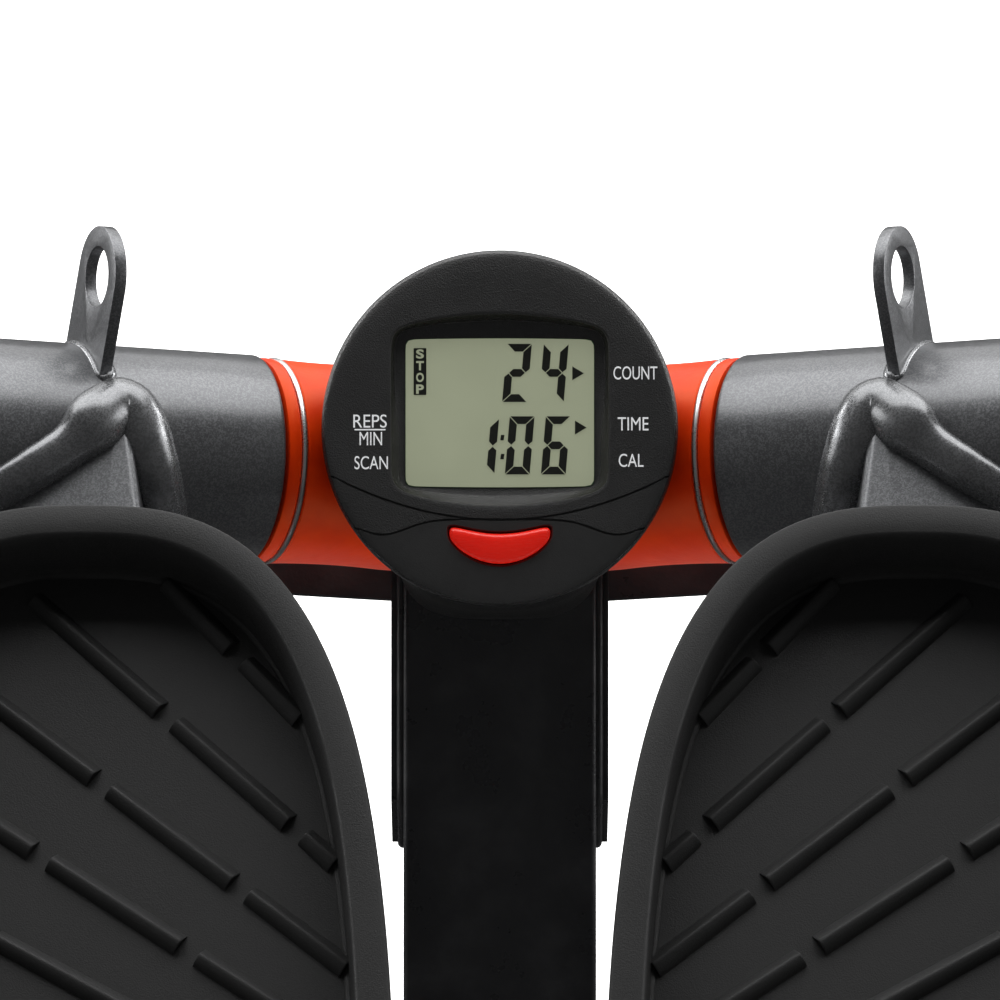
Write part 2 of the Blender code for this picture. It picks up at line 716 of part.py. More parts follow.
def build_bushes(axle):
    outer, inner, length = SLEEVE_RADIUS - SLEEVE_WALL - GAP, SHAFT_RADIUS + GAP, 0.020
    ends = (("inner_bush_left", SLEEVE_START + 0.0005), ("outer_bush_left", SHAFT_LENGTH - length - GAP))
    return [lathe(n, hollow_rod(outer, inner, z, z + length), axle, nylon(), 24) for n, z in ends]


def build_sleeve_cap(axle):
    """Domed plug in the sleeve's outer end, over the axle bolt."""
    bore = SLEEVE_RADIUS - SLEEVE_WALL - GAP
    face = SLEEVE_END + GAP
    profile = [(0, face + 0.0042), (0.020, face + 0.0038), (SLEEVE_RADIUS, face + 0.0022)]
    profile.append((SLEEVE_RADIUS, face))
    profile += [(bore, face), (bore, face - 0.006), (bore - 0.002, face - 0.006)]
    profile.append((bore - 0.002, face + 0.0012))
    profile += [(0, face + 0.0012)]
    return lathe("sleeve_cap_left", profile, axle, black_plastic(), 28)


def build_eyelet(axle):
    """Rounded plate with a hole for a strap hook, standing square to the sleeve."""
    half, centre, hole, thick = 0.0130, 0.0474, 0.0079, 0.0031
    turn = Matrix.Rotation(-EYELET_LEAN, 4, "Z") @ Matrix.Rotation(EYELET_TWIST, 4, "Y")
    place = moved(axle, z=EYELET_ALONG) @ turn @ Matrix.Translation((0, 0, -thick / 2))
    tip = [(half * cos(a), centre + half * sin(a)) for a in (pi * k / 12 for k in range(13))]
    outline = tip + [(-half, 0.018), (half, 0.018)]
    loops = [outline, circle(hole, 20, (0, centre))]
    plate = prism("eyelet_left", loops, 0, thick, place, grey_paint())
    clear = stub_cutter("eyelet_foot", axle, SLEEVE_RADIUS + GAP, high=0.2)
    return soften(cut(plate, clear), 0.0007, 1)


def rolled(arm):
    """X and Y square to the rolled tube's faces, Z along the tube."""
    x, y, z = (arm.col[i].to_3d() for i in range(3))
    across = cos(ARM_ROLL) * x - sin(ARM_ROLL) * z
    up = sin(ARM_ROLL) * x + cos(ARM_ROLL) * z
    return frame(arm.translation, up, across, y)


def arm_solid(name, arm, grow):
    size = ARM_TUBE + 2 * grow
    outline = rounded(size, size, ARM_CORNER + grow, 4)
    return prism(name, [outline], -0.01, ARM_LENGTH + 0.01, rolled(arm), None)


def build_arm_tube(arm, axle):
    """Square tube, rolled about its own length and coped round the sleeve."""
    inside = ARM_TUBE - 2 * ARM_WALL
    loops = [rounded(ARM_TUBE, ARM_TUBE, ARM_CORNER, 4), rounded(inside, inside, 0.001, 4)]
    tube = prism("arm_tube_left", loops, 0, ARM_LENGTH, rolled(arm), grey_paint())
    return cut(tube, stub_cutter("arm_cope", axle, SLEEVE_RADIUS + GAP, high=0.25))


def build_rocker_lug(post, axle):
    """Lug coped to the sleeve's far side, with the pin that works in the rocker bar's slot."""
    x, y = -ROCKER_REACH, ROCKER_UP
    low, high = (x - 0.006, y - 0.008, -0.020), (x + 0.006, y + 0.014, 0.036)
    lug = box("rocker_lug_left", low, high, post, grey_paint())
    tip = -(POST_WIDTH / 2 + ROCKER_STANDOFF + ROCKER_THICK + 0.006)
    pin = lathe("rocker_pin", solid_rod(ROCKER_PIN_RADIUS, tip, -0.010), moved(post, x, y), None, 24)
    return join(cut(lug, stub_cutter("lug_cope", axle, SLEEVE_RADIUS + GAP, high=0.2)), pin)


def build_pedal(pedal):
    """Foot tray: a tread with a raised rim all round."""
    depth, floor = -PEDAL_DEPTH, -PEDAL_DEPTH - PEDAL_FLOOR
    rings = [(0.006, floor), (0.002, floor + 0.003), (0.0, -0.006), (0.0002, -0.0016), (0.0016, 0.0)]
    rings += [(0.0074, 0.0), (0.0086, -0.0012), (0.0089, -0.004), (PEDAL_RIM, depth)]
    loops = [[(x, y, z) for x, y in pedal_outline(inset)] for inset, z in rings]
    return loft("pedal_left", loops, pedal, pedal_plastic())


def build_pedal_plate(pedal, arm):
    """Steel plate under the tread, with two ribs down to the arm tube."""
    top = -PEDAL_DEPTH - PEDAL_FLOOR - GAP
    low, high = (-0.050, -0.020, top - 0.003), (0.050, 0.125, top)
    plate = box("pedal_plate_left", low, high, pedal, grey_paint())
    ribs = []
    for name, y in (("rib_rear", 0.000), ("rib_front", 0.105)):
        rib = box(name, (-0.042, y, top - 0.024), (0.048, y + 0.004, top - 0.001), pedal, None)
        ribs.append(rib)
    return cut(join(plate, *ribs), arm_solid("plate_clear", arm, GAP))


def build_upper_bracket(cylinder, arm):
    """Two ears welded under the arm tube, and the pin for the cylinder's rod."""
    place = moved(pin_frame(cylinder), y=CYLINDER_LENGTH)
    low, high = (-0.0095, 0.0145, -BRACKET_HALF), (0.0095, 0.036, BRACKET_HALF)
    bracket = box("rod_bracket_left", low, high, place, grey_paint())
    join(bracket, *ears("upper_ear", place, 0.030))
    hole = lathe("upper_hole", solid_rod(PIN_RADIUS + GAP, -0.03, 0.03), place, None, 24)
    cut(bracket, arm_solid("bracket_clear", arm, GAP), hole)
    return [bracket, build_pin("rod_pin_left", place)]


# ---- cylinders ----------------------------------------------------------------------------------
def build_barrel(cylinder):
    """Closed at its foot, where an eye takes the lower pin, and open at its top."""
    wall, foot = 0.0022, 0.0095
    profile = [(0, foot), (0.011, foot), (BARREL_RADIUS, foot + 0.004), (BARREL_RADIUS, BARREL_TOP)]
    profile += [(BARREL_RADIUS - wall, BARREL_TOP), (BARREL_RADIUS - wall, foot + 0.003), (0, foot + 0.003)]
    barrel = lathe("cylinder_barrel_left", profile, cylinder, chrome(), 28)
    place = pin_frame(cylinder)
    eye = lathe("barrel_eye", solid_rod(EYE_RADIUS, -0.009, 0.009), place, None, 20)
    bore = lathe("barrel_bore", solid_rod(PIN_RADIUS + GAP, -0.02, 0.02), place, None, 16)
    neck = lathe("barrel_neck", solid_rod(0.006, 0.006, foot + 0.002), cylinder, None, 16)
    return cut(join(barrel, eye, neck), bore)


def build_gland(cylinder):
    """Ring pressed into the barrel's mouth, round the rod."""
    plug = BARREL_RADIUS - 0.0022 - GAP
    low, mouth, top = BARREL_TOP - 0.005, BARREL_TOP + GAP, BARREL_TOP + 0.003
    hole = ROD_RADIUS + GAP
    profile = [(hole, low), (plug, low), (plug, mouth), (BARREL_RADIUS, mouth)]
    profile.append((BARREL_RADIUS, top - 0.001))
    profile += [(BARREL_RADIUS - 0.001, top), (hole, top)]
    return lathe("gland_left", profile, cylinder, black_plastic(), 28)


def build_rod(cylinder):
    """Piston, rod and rod eye; the eye's bore is wide, because the linkage is open there."""
    low = ROD_FOOT
    piston = BARREL_RADIUS - 0.0022 - GAP
    profile = [(0, low), (piston, low), (piston, low + 0.005), (ROD_RADIUS, low + 0.005)]
    profile += [(ROD_RADIUS, CYLINDER_LENGTH - 0.008), (0, CYLINDER_LENGTH - 0.008)]
    rod = lathe("piston_rod_left", profile, cylinder, chrome(), 20)
    place = moved(pin_frame(cylinder), y=CYLINDER_LENGTH)
    eye = lathe("rod_eye", solid_rod(ROD_EYE_RADIUS, -0.008, 0.008), place, None, 20)
    bore = lathe("rod_bore", solid_rod(ROD_EYE_BORE, -0.02, 0.02), place, None, 20)
    return cut(join(rod, eye), bore)


# ---- assembly -----------------------------------------------------------------------------------
def build_frame_pieces(post, axle, monitor, far, cylinder):
    build_beam()
    build_stabiliser("front", FRONT_STABILISER_Y, FRONT_HALF_SPAN)
    build_stabiliser("rear", REAR_STABILISER_Y, REAR_HALF_SPAN)
    build_upright(post, axle)
    build_yoke(post, axle)
    build_rocker_pivot(far)
    build_rear_shell(monitor, axle)
    build_front_shell(monitor)
    build_display(monitor)
    paired = [build_cheek(post, axle), build_collar(axle), build_trim_ring(axle), build_axle_bolt(axle)]
    paired += build_lower_bracket(cylinder)
    for piece in paired:
        right_copy(piece)


def build_arm_pieces(post, axle, arm, pedal, cylinder):
    pieces = [build_sleeve(axle), *build_bushes(axle), build_sleeve_cap(axle), build_eyelet(axle)]
    pieces += [build_arm_tube(arm, axle), build_rocker_lug(post, axle), build_pedal(pedal)]
    pieces += [build_pedal_plate(pedal, arm), *build_upper_bracket(cylinder, arm)]
    return pieces


def hang_both_sides(name, place, pieces):
    """Hangs the left pieces from an empty on their joint, and their right-hand twins from its twin."""
    twins = [right_copy(piece) for piece in pieces]
    hang(pieces, pivot(f"{name}_left_pivot", place))
    hang(twins, pivot(f"{name}_right_pivot", mirrored_frame(place)))


def main():
    for obj in list(bpy.data.objects):
        bpy.data.objects.remove(obj)
    post = upright_frame()
    axle = axle_frame(post)
    arm = arm_frame(axle)
    pedal = pedal_frame(post)
    cylinder = cylinder_frame(arm)
    far = far_face(post)
    monitor = moved(post, y=MONITOR_UP, z=MONITOR_OUT)
    build_frame_pieces(post, axle, monitor, far, cylinder)
    hang([build_button(monitor)], pivot("button_guide", monitor))
    hang([build_rocker(far)], pivot("rocker_pivot", far))
    hang_both_sides("arm", axle, build_arm_pieces(post, axle, arm, pedal, cylinder))
    hang_both_sides("cylinder", cylinder, [build_barrel(cylinder), build_gland(cylinder)])
    hang_both_sides("rod", cylinder, [build_rod(cylinder)])


main()
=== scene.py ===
"""Looks for the mini twist stepper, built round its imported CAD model.

Every length is in metres, in the CAD's own frame: +X is the user's right, +Y away from the user and
+Z up. Pieces are made on the left side and reflected for the right.
"""
import json
from math import atan2, cos, exp, pi, radians, sin, sqrt

import bmesh
import bpy
from mathutils import Matrix, Vector, noise


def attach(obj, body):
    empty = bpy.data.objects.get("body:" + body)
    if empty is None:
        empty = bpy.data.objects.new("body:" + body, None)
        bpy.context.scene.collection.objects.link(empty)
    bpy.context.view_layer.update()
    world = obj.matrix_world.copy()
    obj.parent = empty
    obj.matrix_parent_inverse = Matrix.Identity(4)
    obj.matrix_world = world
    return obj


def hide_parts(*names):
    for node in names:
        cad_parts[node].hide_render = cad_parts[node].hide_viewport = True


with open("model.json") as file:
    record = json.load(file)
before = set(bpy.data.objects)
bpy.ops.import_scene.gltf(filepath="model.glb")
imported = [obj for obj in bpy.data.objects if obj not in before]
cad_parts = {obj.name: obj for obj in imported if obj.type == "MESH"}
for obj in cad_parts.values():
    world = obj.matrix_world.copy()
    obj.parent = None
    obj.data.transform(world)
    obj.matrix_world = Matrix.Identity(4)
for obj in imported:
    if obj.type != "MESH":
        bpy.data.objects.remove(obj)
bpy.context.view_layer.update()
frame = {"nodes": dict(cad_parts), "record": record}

# ---- dimensions shared with the CAD ----
HUB = Vector((0.0, 0.1774, 0.162))
POST_LEAN = radians(45)
POST_WIDTH = 0.051
AXLE_SWEEP = radians(24)
AXLE_RISE = radians(2.8)
SLEEVE_RADIUS = 0.0277
SLEEVE_START, SLEEVE_END = 0.0725, 0.166
COLLAR_RADIUS = 0.0270
RING_AT = 0.0671
MONITOR_UP, MONITOR_OUT = 0.0114, 0.058
MONITOR_RADIUS = 0.0460
ARM_ALONG = 0.1255
ARM_DROP = radians(62)
ARM_TUBE = 0.038
ARM_LIFT = 0.0034
ARM_ROLL = radians(25)
ARM_LENGTH = 0.150
EYELET_ALONG = 0.1213
EYELET_LEAN = radians(21)
EYELET_TWIST = radians(2.7)
PEDAL_HALF_WIDTH, PEDAL_HALF_LENGTH = 0.0787, 0.153
PEDAL_POWERS = (2.7, 3.5)
PEDAL_TAPER = 0.144
PEDAL_RIM = 0.010
PEDAL_DEPTH = 0.0195
PEDAL_FLOOR = 0.0045
PEDAL_SLOPE = radians(18)
PEDAL_X = 0.102
PEDAL_TOE = (-0.0077, 0.1144)
BASE_TOP = 0.038  # upper face of the base tubes


# ---- frames ----
def placed(origin, x, y, z):
    return Matrix.Translation(origin) @ Matrix((x, y, z)).transposed().to_4x4()


def column(place, k):
    return place.col[k].to_3d()


def square_to(vector, axis):
    """What is left of a vector without its part along an axis."""
    return vector - vector.dot(axis) * axis


def axle_frame():
    """The left axle: Z outwards along it, Y up, X towards the user."""
    level = cos(AXLE_RISE)
    z = -cos(AXLE_SWEEP) * level * RIGHT + sin(AXLE_SWEEP) * level * OUT + sin(AXLE_RISE) * UP
    y = square_to(UP, z).normalized()
    return placed(HUB, y.cross(z), y, z)


def arm_frame():
    """The left arm tube: Y along it, away from the axle, X along the axle."""
    x, y, z = (column(AXLE, k) for k in range(3))
    along = cos(ARM_DROP) * x - sin(ARM_DROP) * y
    up = z.cross(along)
    return placed(AXLE @ Vector((0, 0, ARM_ALONG)) + ARM_LIFT * up, z, along, up)


def pedal_frame():
    """The left tray's rim: Y towards the toe, Z square to the rim."""
    toe = POST @ Vector((-PEDAL_X, *PEDAL_TOE))
    forward = Vector((0, cos(PEDAL_SLOPE), sin(PEDAL_SLOPE)))
    up = Vector((0, -sin(PEDAL_SLOPE), cos(PEDAL_SLOPE)))
    return placed(toe - PEDAL_HALF_LENGTH * forward, RIGHT, forward, up)


RIGHT = Vector((1, 0, 0))
UP = Vector((0, cos(POST_LEAN), sin(POST_LEAN)))
OUT = Vector((0, -sin(POST_LEAN), cos(POST_LEAN)))
POST = placed(HUB, RIGHT, UP, OUT)
AXLE = axle_frame()
OUTWARD = column(AXLE, 2)  # along the left axle, away from the hub
ARM = arm_frame()
PEDAL = pedal_frame()
MONITOR = POST @ Matrix.Translation((0, MONITOR_UP, MONITOR_OUT))
MIRROR = Matrix.Scale(-1, 4, (1, 0, 0))


# ---- materials ----
class Nodes:
    """A short way to write a material's node tree."""

    def __init__(self, name):
        self.material = bpy.data.materials.new(name)
        self.material.use_nodes = True
        self.tree = self.material.node_tree
        self.shader = self.tree.nodes["Principled BSDF"]
        self.place = self.add("ShaderNodeTexCoord").outputs["Object"]

    def add(self, kind, links=(), **settings):
        made = self.tree.nodes.new(kind)
        for key, value in settings.items():
            setattr(made, key, value)
        for socket, source in dict(links).items():
            self.put(made.inputs[socket], source)
        return made

    def put(self, socket, source):
        if isinstance(source, bpy.types.NodeSocket):
            self.tree.links.new(source, socket)
        else:
            socket.default_value = source

    def noise(self, scale, detail=2.0, rough=0.5, place=None):
        links = {"Vector": place or self.place, "Scale": scale, "Detail": detail}
        return self.add("ShaderNodeTexNoise", links | {"Roughness": rough}).outputs["Fac"]

    def cells(self, scale, output="Distance"):
        made = self.add("ShaderNodeTexVoronoi", {"Vector": self.place, "Scale": scale})
        return made.outputs[output]

    def stretched(self, scale):
        """Object coordinates, scaled by a different amount along each axis."""
        made = self.add("ShaderNodeMapping", {"Vector": self.place, "Scale": scale})
        return made.outputs[0]

    def ramp(self, value, low, high, to_low=0.0, to_high=1.0):
        """A smooth step that goes from to_low, at low, to to_high, at high."""
        links = {"Value": value, "From Min": low, "From Max": high}
        links |= {"To Min": to_low, "To Max": to_high}
        made = self.add("ShaderNodeMapRange", links, interpolation_type="SMOOTHSTEP")
        return made.outputs["Result"]

    def math(self, operation, a, b=0.0):
        return self.add("ShaderNodeMath", {0: a, 1: b}, operation=operation).outputs[0]

    def sum(self, a, b):
        return self.math("ADD", a, b)

    def times(self, a, b):
        return self.math("MULTIPLY", a, b)

    def blend(self, factor, a, b):
        """Goes from colour a to colour b. Inputs 6 and 7 are the Mix node's two colours."""
        a, b = ((*tone, 1) if isinstance(tone, tuple) else tone for tone in (a, b))
        return self.add("ShaderNodeMix", {0: factor, 6: a, 7: b}, data_type="RGBA").outputs[2]

    def bump(self, height, strength, distance, under=None):
        links = {"Height": height, "Strength": strength, "Distance": distance}
        if under:
            links["Normal"] = under
        return self.add("ShaderNodeBump", links).outputs["Normal"]

    def finish(self, colour, rough, normal=None, **more):
        """Sets the shader's inputs. Coat_Weight, say, stands for the one called Coat Weight."""
        sockets = {"Base Color": colour, "Roughness": rough} | more
        if normal:
            sockets["Normal"] = normal
        for name, source in sockets.items():
            self.put(self.shader.inputs[name.replace("_", " ")], source)
        return self.material


def moulded(name, dark, light, roughness, grain, depth, strength=None, gloss_and_painted_shade=None):
    """Moulded plastic: fine spark-eroded grain, faint flow mottling and uneven gloss.

    strength(n) gives the grain's depth from place to place; the last argument gives the skin's
    polish there and also darkens the colour towards near-black as painted shade.
    """
    n = Nodes(name)
    mottle = n.noise(38, 4, 0.6)
    scuff = n.noise(420, 3, 0.7)
    pores = n.cells(grain)
    fine = n.noise(grain * 1.7, 3, 0.6)
    height = n.sum(n.times(pores, 0.8), fine)
    normal = n.bump(height, strength(n) if strength else 0.55, depth)
    tone = n.times(n.sum(mottle, n.times(scuff, 0.6)), 0.62)
    colour = n.blend(n.ramp(tone, 0.3, 0.75), (dark,) * 3, (light,) * 3)
    uneven = n.sum(mottle, n.times(pores, 0.5))
    rough = n.ramp(uneven, 0.35, 0.9, roughness - 0.06, roughness + 0.1)
    specular = 0.28
    if gloss_and_painted_shade:
        gloss_and_shade_share = gloss_and_painted_shade(n)
        # painted shade: where this mask is high the colour goes towards near-black, as shade in a
        # recess would; the lower roughness and higher specular beside it are real gloss
        colour = n.blend(n.times(gloss_and_shade_share, 0.75), colour, (0.004, 0.004, 0.004))
        rough = n.ramp(n.math("SUBTRACT", rough, n.times(gloss_and_shade_share, 0.22)), 0.0, 1.0)
        specular = n.ramp(gloss_and_shade_share, 0.0, 1.0, specular, 0.75)
    return n.finish(colour, rough, normal, Specular_IOR_Level=specular)


def mouth_gloss_and_painted_shade(n):
    """The mouth's wall is glossy, and its colour is darkened there as painted shade in the recess;
    the ledge at its foot is grained again.
    """
    z = monitor_coordinates(n)[2]
    return n.times(n.ramp(z, -0.0003, -0.0008), n.ramp(z, -0.00335, -0.0030))


def chin_strength(n):
    """The grain stops at the wavy seam above the button: below it the moulding is smooth."""
    x, y, _ = monitor_coordinates(n)
    off = n.math("DIVIDE", n.math("SUBTRACT", n.math("ABSOLUTE", x), WAVE_AT), WAVE_WIDE)
    hump = n.math("EXPONENT", n.times(n.times(off, off), -1.0))
    above = n.sum(n.math("SUBTRACT", y, WAVE_MID), n.times(hump, WAVE_DEEP))
    return n.ramp(above, -0.0004, 0.0004, 0.16, 0.62)


def monitor_coordinates(n):
    """X, Y and Z in the monitor's own frame."""
    links = {0: n.place, 1: MONITOR.translation}
    shifted = n.add("ShaderNodeVectorMath", links, operation="SUBTRACT")
    links = {"Vector": shifted.outputs[0], "Angle": -POST_LEAN}
    turned = n.add("ShaderNodeVectorRotate", links, rotation_type="X_AXIS")
    return n.add("ShaderNodeSeparateXYZ", {"Vector": turned.outputs[0]}).outputs


def metallic_paint(name, dark, light, roughness):
    """Dark grey metallic lacquer: sparkling flakes, slight orange peel, a clear coat."""
    n = Nodes(name)
    flakes = n.add("ShaderNodeSeparateColor", {"Color": n.cells(3000, "Color")}).outputs[0]
    mottle = n.noise(24, 3, 0.5)
    peel = n.noise(260, 2, 0.5)
    sparkle = n.times(n.ramp(flakes, 0.2, 1.0), 0.5)
    colour = n.blend(n.sum(sparkle, n.times(mottle, 0.5)), dark, light)
    rough = n.ramp(flakes, 0.0, 1.0, roughness - 0.04, roughness + 0.06)
    normal = n.bump(flakes, 0.13, 0.00012, n.bump(peel, 0.035, 0.0006))
    return n.finish(colour, rough, normal, Metallic=0.70, Coat_Weight=0.25, Coat_Roughness=0.14)


def powder_coat(name, tone, roughness):
    """Black powder coat: fine orange peel, faint dust and polishing marks."""
    n = Nodes(name)
    peel = n.noise(900, 3, 0.55)
    wide = n.noise(160, 2, 0.5)
    dust = n.noise(55, 5, 0.65)
    clean, dusty = (tone, tone, tone * 1.08), (tone * 1.9, tone * 1.9, tone * 2.0)
    colour = n.blend(n.ramp(dust, 0.4, 0.8), clean, dusty)
    rough = n.ramp(dust, 0.3, 0.8, roughness - 0.04, roughness + 0.09)
    normal = n.bump(n.sum(peel, n.times(wide, 1.4)), 0.16, 0.0005)
    coat = {"Coat_Weight": 0.12, "Coat_Roughness": 0.12}
    return n.finish(colour, rough, normal, Specular_IOR_Level=0.36, **coat)


def glossy_plastic(name, deep, bright, roughness, tint=(1.0, 1.0, 1.0), coat=0.3, painted_glow=0.0):
    """Coloured glossy moulding with faint flow lines and hairline scratches. A glow above zero is
    painted light: the moulding shines though it is no lamp.
    """
    n = Nodes(name)
    flow = n.noise(60, 4, 0.6)
    lines = n.noise(240, 3, 0.7, n.stretched((1.0, 14.0, 1.0)))
    colour = n.blend(n.ramp(flow, 0.3, 0.75), deep, bright)
    rough = n.ramp(lines, 0.35, 0.7, roughness - 0.05, roughness + 0.08)
    normal = n.bump(n.sum(n.noise(700, 2, 0.5), lines), 0.07, 0.0004)
    gloss = {"Coat_Weight": coat, "Coat_Roughness": 0.08, "Specular_Tint": (*tint, 1)}
    # painted light: an emission of the deep tone, so the part glows though it is no lamp
    light = {"Emission_Color": (*deep, 1), "Emission_Strength": painted_glow}
    return n.finish(colour, rough, normal, **gloss, **light)


def bright_metal(name, tone, roughness):
    """Plated or turned metal with brushing marks and a little tarnish."""
    n = Nodes(name)
    marks = n.noise(420, 3, 0.7, n.stretched((6.0, 6.0, 1.0)))
    tarnish = n.noise(70, 5, 0.6)
    dull = (tone * 0.72, tone * 0.70, tone * 0.66)
    colour = n.blend(n.ramp(tarnish, 0.45, 0.85), (tone,) * 3, dull)
    rough = n.ramp(n.sum(marks, tarnish), 0.6, 1.4, roughness, roughness + 0.2)
    normal = n.bump(marks, 0.08, 0.0003)
    return n.finish(colour, rough, normal, Metallic=1.0)


def display(name, deep, bright, roughness):
    """Liquid-crystal panel: an even grey-green with a trace of pixel grid and film unevenness. It
    glows with painted light, standing in for light falling on it.
    """
    n = Nodes(name)
    film = n.noise(45, 3, 0.5)
    grid = n.cells(3000)
    tone = n.ramp(n.sum(film, n.times(grid, 0.1)), 0.35, 0.75)
    colour = n.blend(tone, deep, bright)
    normal = n.bump(grid, 0.04, 0.0001)
    rough = n.ramp(film, 0.3, 0.7, roughness, roughness + 0.1)
    # painted light: the panel, and the letters that use its look, glow in their own colour,
    # standing in for light falling on them
    light = {"Emission_Color": colour, "Emission_Strength": 0.47}
    return n.finish(colour, rough, normal, Specular_IOR_Level=0.25, **light)


def clear_window(name):
    """Thin clear cover, faintly hazed and scratched."""
    n = Nodes(name)
    haze = n.noise(90, 4, 0.6)
    normal = n.bump(n.noise(300, 2, 0.5), 0.03, 0.0003)
    colour = n.blend(haze, (0.10, 0.11, 0.09), (0.14, 0.15, 0.12))
    rough = n.ramp(haze, 0.3, 0.7, 0.06, 0.14)
    return n.finish(colour, rough, normal, Alpha=0.05)


def ink(name, tone, worn, painted_glow=0.0):
    """Printed or liquid-crystal mark: thin, slightly uneven. A glow above zero is painted light:
    the print shines though it is no lamp.
    """
    n = Nodes(name)
    patch = n.noise(900, 4, 0.7)
    colour = n.blend(n.ramp(patch, 0.35, 0.75), tone, worn)
    rough = n.ramp(patch, 0.2, 0.8, 0.4, 0.6)
    # painted light: the mark glows by the given strength
    light = {"Emission_Color": colour, "Emission_Strength": painted_glow}
    return n.finish(colour, rough, n.bump(patch, 0.05, 0.0001), **light)


def rubbery(name, tone):
    """Matt rubber with open pores and some dust."""
    n = Nodes(name)
    dust = n.noise(80, 5, 0.65)
    pores = n.cells(1500)
    colour = n.blend(n.ramp(dust, 0.4, 0.8), (tone,) * 3, (tone * 2.4,) * 3)
    normal = n.bump(n.sum(pores, n.noise(1900, 2)), 0.35, 0.0003)
    return n.finish(colour, n.ramp(dust, 0.3, 0.8, 0.7, 0.9), normal)


def board(name):
    """Circuit board: green lacquer over copper tracks."""
    n = Nodes(name)
    bricks = {"Vector": n.place, "Scale": 220.0, "Mortar Size": 0.02}
    tracks = n.add("ShaderNodeTexBrick", bricks).outputs["Fac"]
    colour = n.blend(n.times(tracks, 0.6), (0.015, 0.13, 0.045), (0.09, 0.26, 0.09))
    rough = n.ramp(n.noise(300), 0.3, 0.7, 0.25, 0.4)
    return n.finish(colour, rough, n.bump(tracks, 0.2, 0.0001))


# the wavy seam above the button: its level and its two dips' depth, place and width
WAVE_MID, WAVE_DEEP, WAVE_AT, WAVE_WIDE = -0.0234, 0.0039, 0.0303, 0.0088

# the case's last argument paints shade on the mouth wall and makes it glossier
CASE = moulded("case_plastic", 0.044, 0.054, 0.38, 2400, 0.00026, chin_strength, mouth_gloss_and_painted_shade)
HOUSING = moulded("housing_plastic", 0.013, 0.018, 0.30, 2000, 0.00008)
TRAY = moulded("tray_plastic", 0.0185, 0.0225, 0.48, 2300, 0.00008)
GREY = metallic_paint("grey_paint", (0.075, 0.077, 0.081), (0.21, 0.213, 0.22), 0.33)
# painted highlight: the welds wear a lighter copy of the grey paint, lighter to stand in for the
# light the beads catch; the real welds carry the same paint as the sleeve
GREY_PAINTED_LIGHTER = metallic_paint("grey_paint_painted_lighter", (0.115, 0.118, 0.123), (0.26, 0.263, 0.27), 0.27)
BLACK = powder_coat("black_paint", 0.0130, 0.30)
shades = (0.80, 0.030, 0.001), (0.90, 0.048, 0.0015)
ORANGE = glossy_plastic("orange_plastic", *shades, 0.38, (1.0, 0.50, 0.16), 0.0)
shades = (0.88, 0.014, 0.007), (0.96, 0.022, 0.010)
# the red button's last number, 0.22, is painted glow: it shines though it is no lamp
RED = glossy_plastic("red_plastic", *shades, 0.26, (1.0, 0.8, 0.75), 0.3, 0.22)
SILVER = bright_metal("silver_trim", 0.78, 0.20)
CHROME = bright_metal("chrome", 0.74, 0.10)
STEEL = bright_metal("steel", 0.27, 0.36)
PANEL = display("display_panel", (0.390, 0.420, 0.290), (0.415, 0.446, 0.310), 0.5)
WINDOW = clear_window("display_window")
SEGMENT = ink("display_mark", (0.006, 0.007, 0.005), (0.009, 0.010, 0.007))
# the legends' last number, 0.45, is painted glow: the white print shines though it is no lamp
LEGEND = ink("printed_legend", (0.88, 0.89, 0.90), (0.66, 0.67, 0.68), 0.45)
RUBBER = rubbery("rubber", 0.010)
NYLON = glossy_plastic("nylon", (0.50, 0.49, 0.44), (0.60, 0.59, 0.54), 0.45)
GREEN = board("circuit_board")


# ---- mesh tools ----
def add_object(name, data):
    obj = bpy.data.objects.new(name, data)
    bpy.context.scene.collection.objects.link(obj)
    return obj


def to_object(bm, name, look, place=None, angle=35.0):
    """An object at the world's origin with its points in world coordinates."""
    bmesh.ops.recalc_face_normals(bm, faces=bm.faces)
    mesh = bpy.data.meshes.new(name)
    bm.to_mesh(mesh)
    bm.free()
    if place is not None:
        mesh.transform(place)
        if place.determinant() < 0:
            mesh.flip_normals()
    if look:
        mesh.materials.append(look)
    obj = add_object(name, mesh)
    smooth(obj, angle)
    return obj


def smooth(obj, angle=35.0):
    obj.data.shade_smooth()
    obj.data.set_sharp_from_angle(angle=radians(angle))


def evaluated_mesh(obj):
    bpy.context.view_layer.update()
    graph = bpy.context.evaluated_depsgraph_get()
    return bpy.data.meshes.new_from_object(obj.evaluated_get(graph))


def apply_all(obj):
    """Makes the modifiers' result the object's own mesh."""
    finished = evaluated_mesh(obj)
    obj.modifiers.clear()
    old = obj.data
    obj.data = finished
    bpy.data.meshes.remove(old)


def carve(obj, cutters, angle=None):
    """Cuts the cutters out of the object and removes them, then smooths it up to the angle."""
    for cutter in cutters:
        change = obj.modifiers.new("carve", "BOOLEAN")
        change.solver = "EXACT"
        change.object = cutter
    apply_all(obj)
    for cutter in cutters:
        bpy.data.objects.remove(cutter)
    if angle:
        smooth(obj, angle)


def soften(obj, width):
    """Rounds the object's sharp edges."""
    bevel = obj.modifiers.new("soften", "BEVEL")
    bevel.width = width
    bevel.segments = 3
    bevel.limit_method = "ANGLE"
    bevel.angle_limit = radians(40)
    apply_all(obj)
    smooth(obj)


def rings_to_bm(rings, closed=False):
    """Joins loops of points, and the last to the first if closed, else both ends are capped."""
    bm = bmesh.new()
    loops = [[bm.verts.new(p) for p in ring] for ring in rings]
    for a, b in zip(loops, loops[1:] + (loops[:1] if closed else [])):
        for k in range(len(a)):
            j = (k + 1) % len(a)
            bm.faces.new((a[k], a[j], b[j], b[k]))
    if not closed:
        bm.faces.new(loops[0])
        bm.faces.new(loops[-1])
    return bm


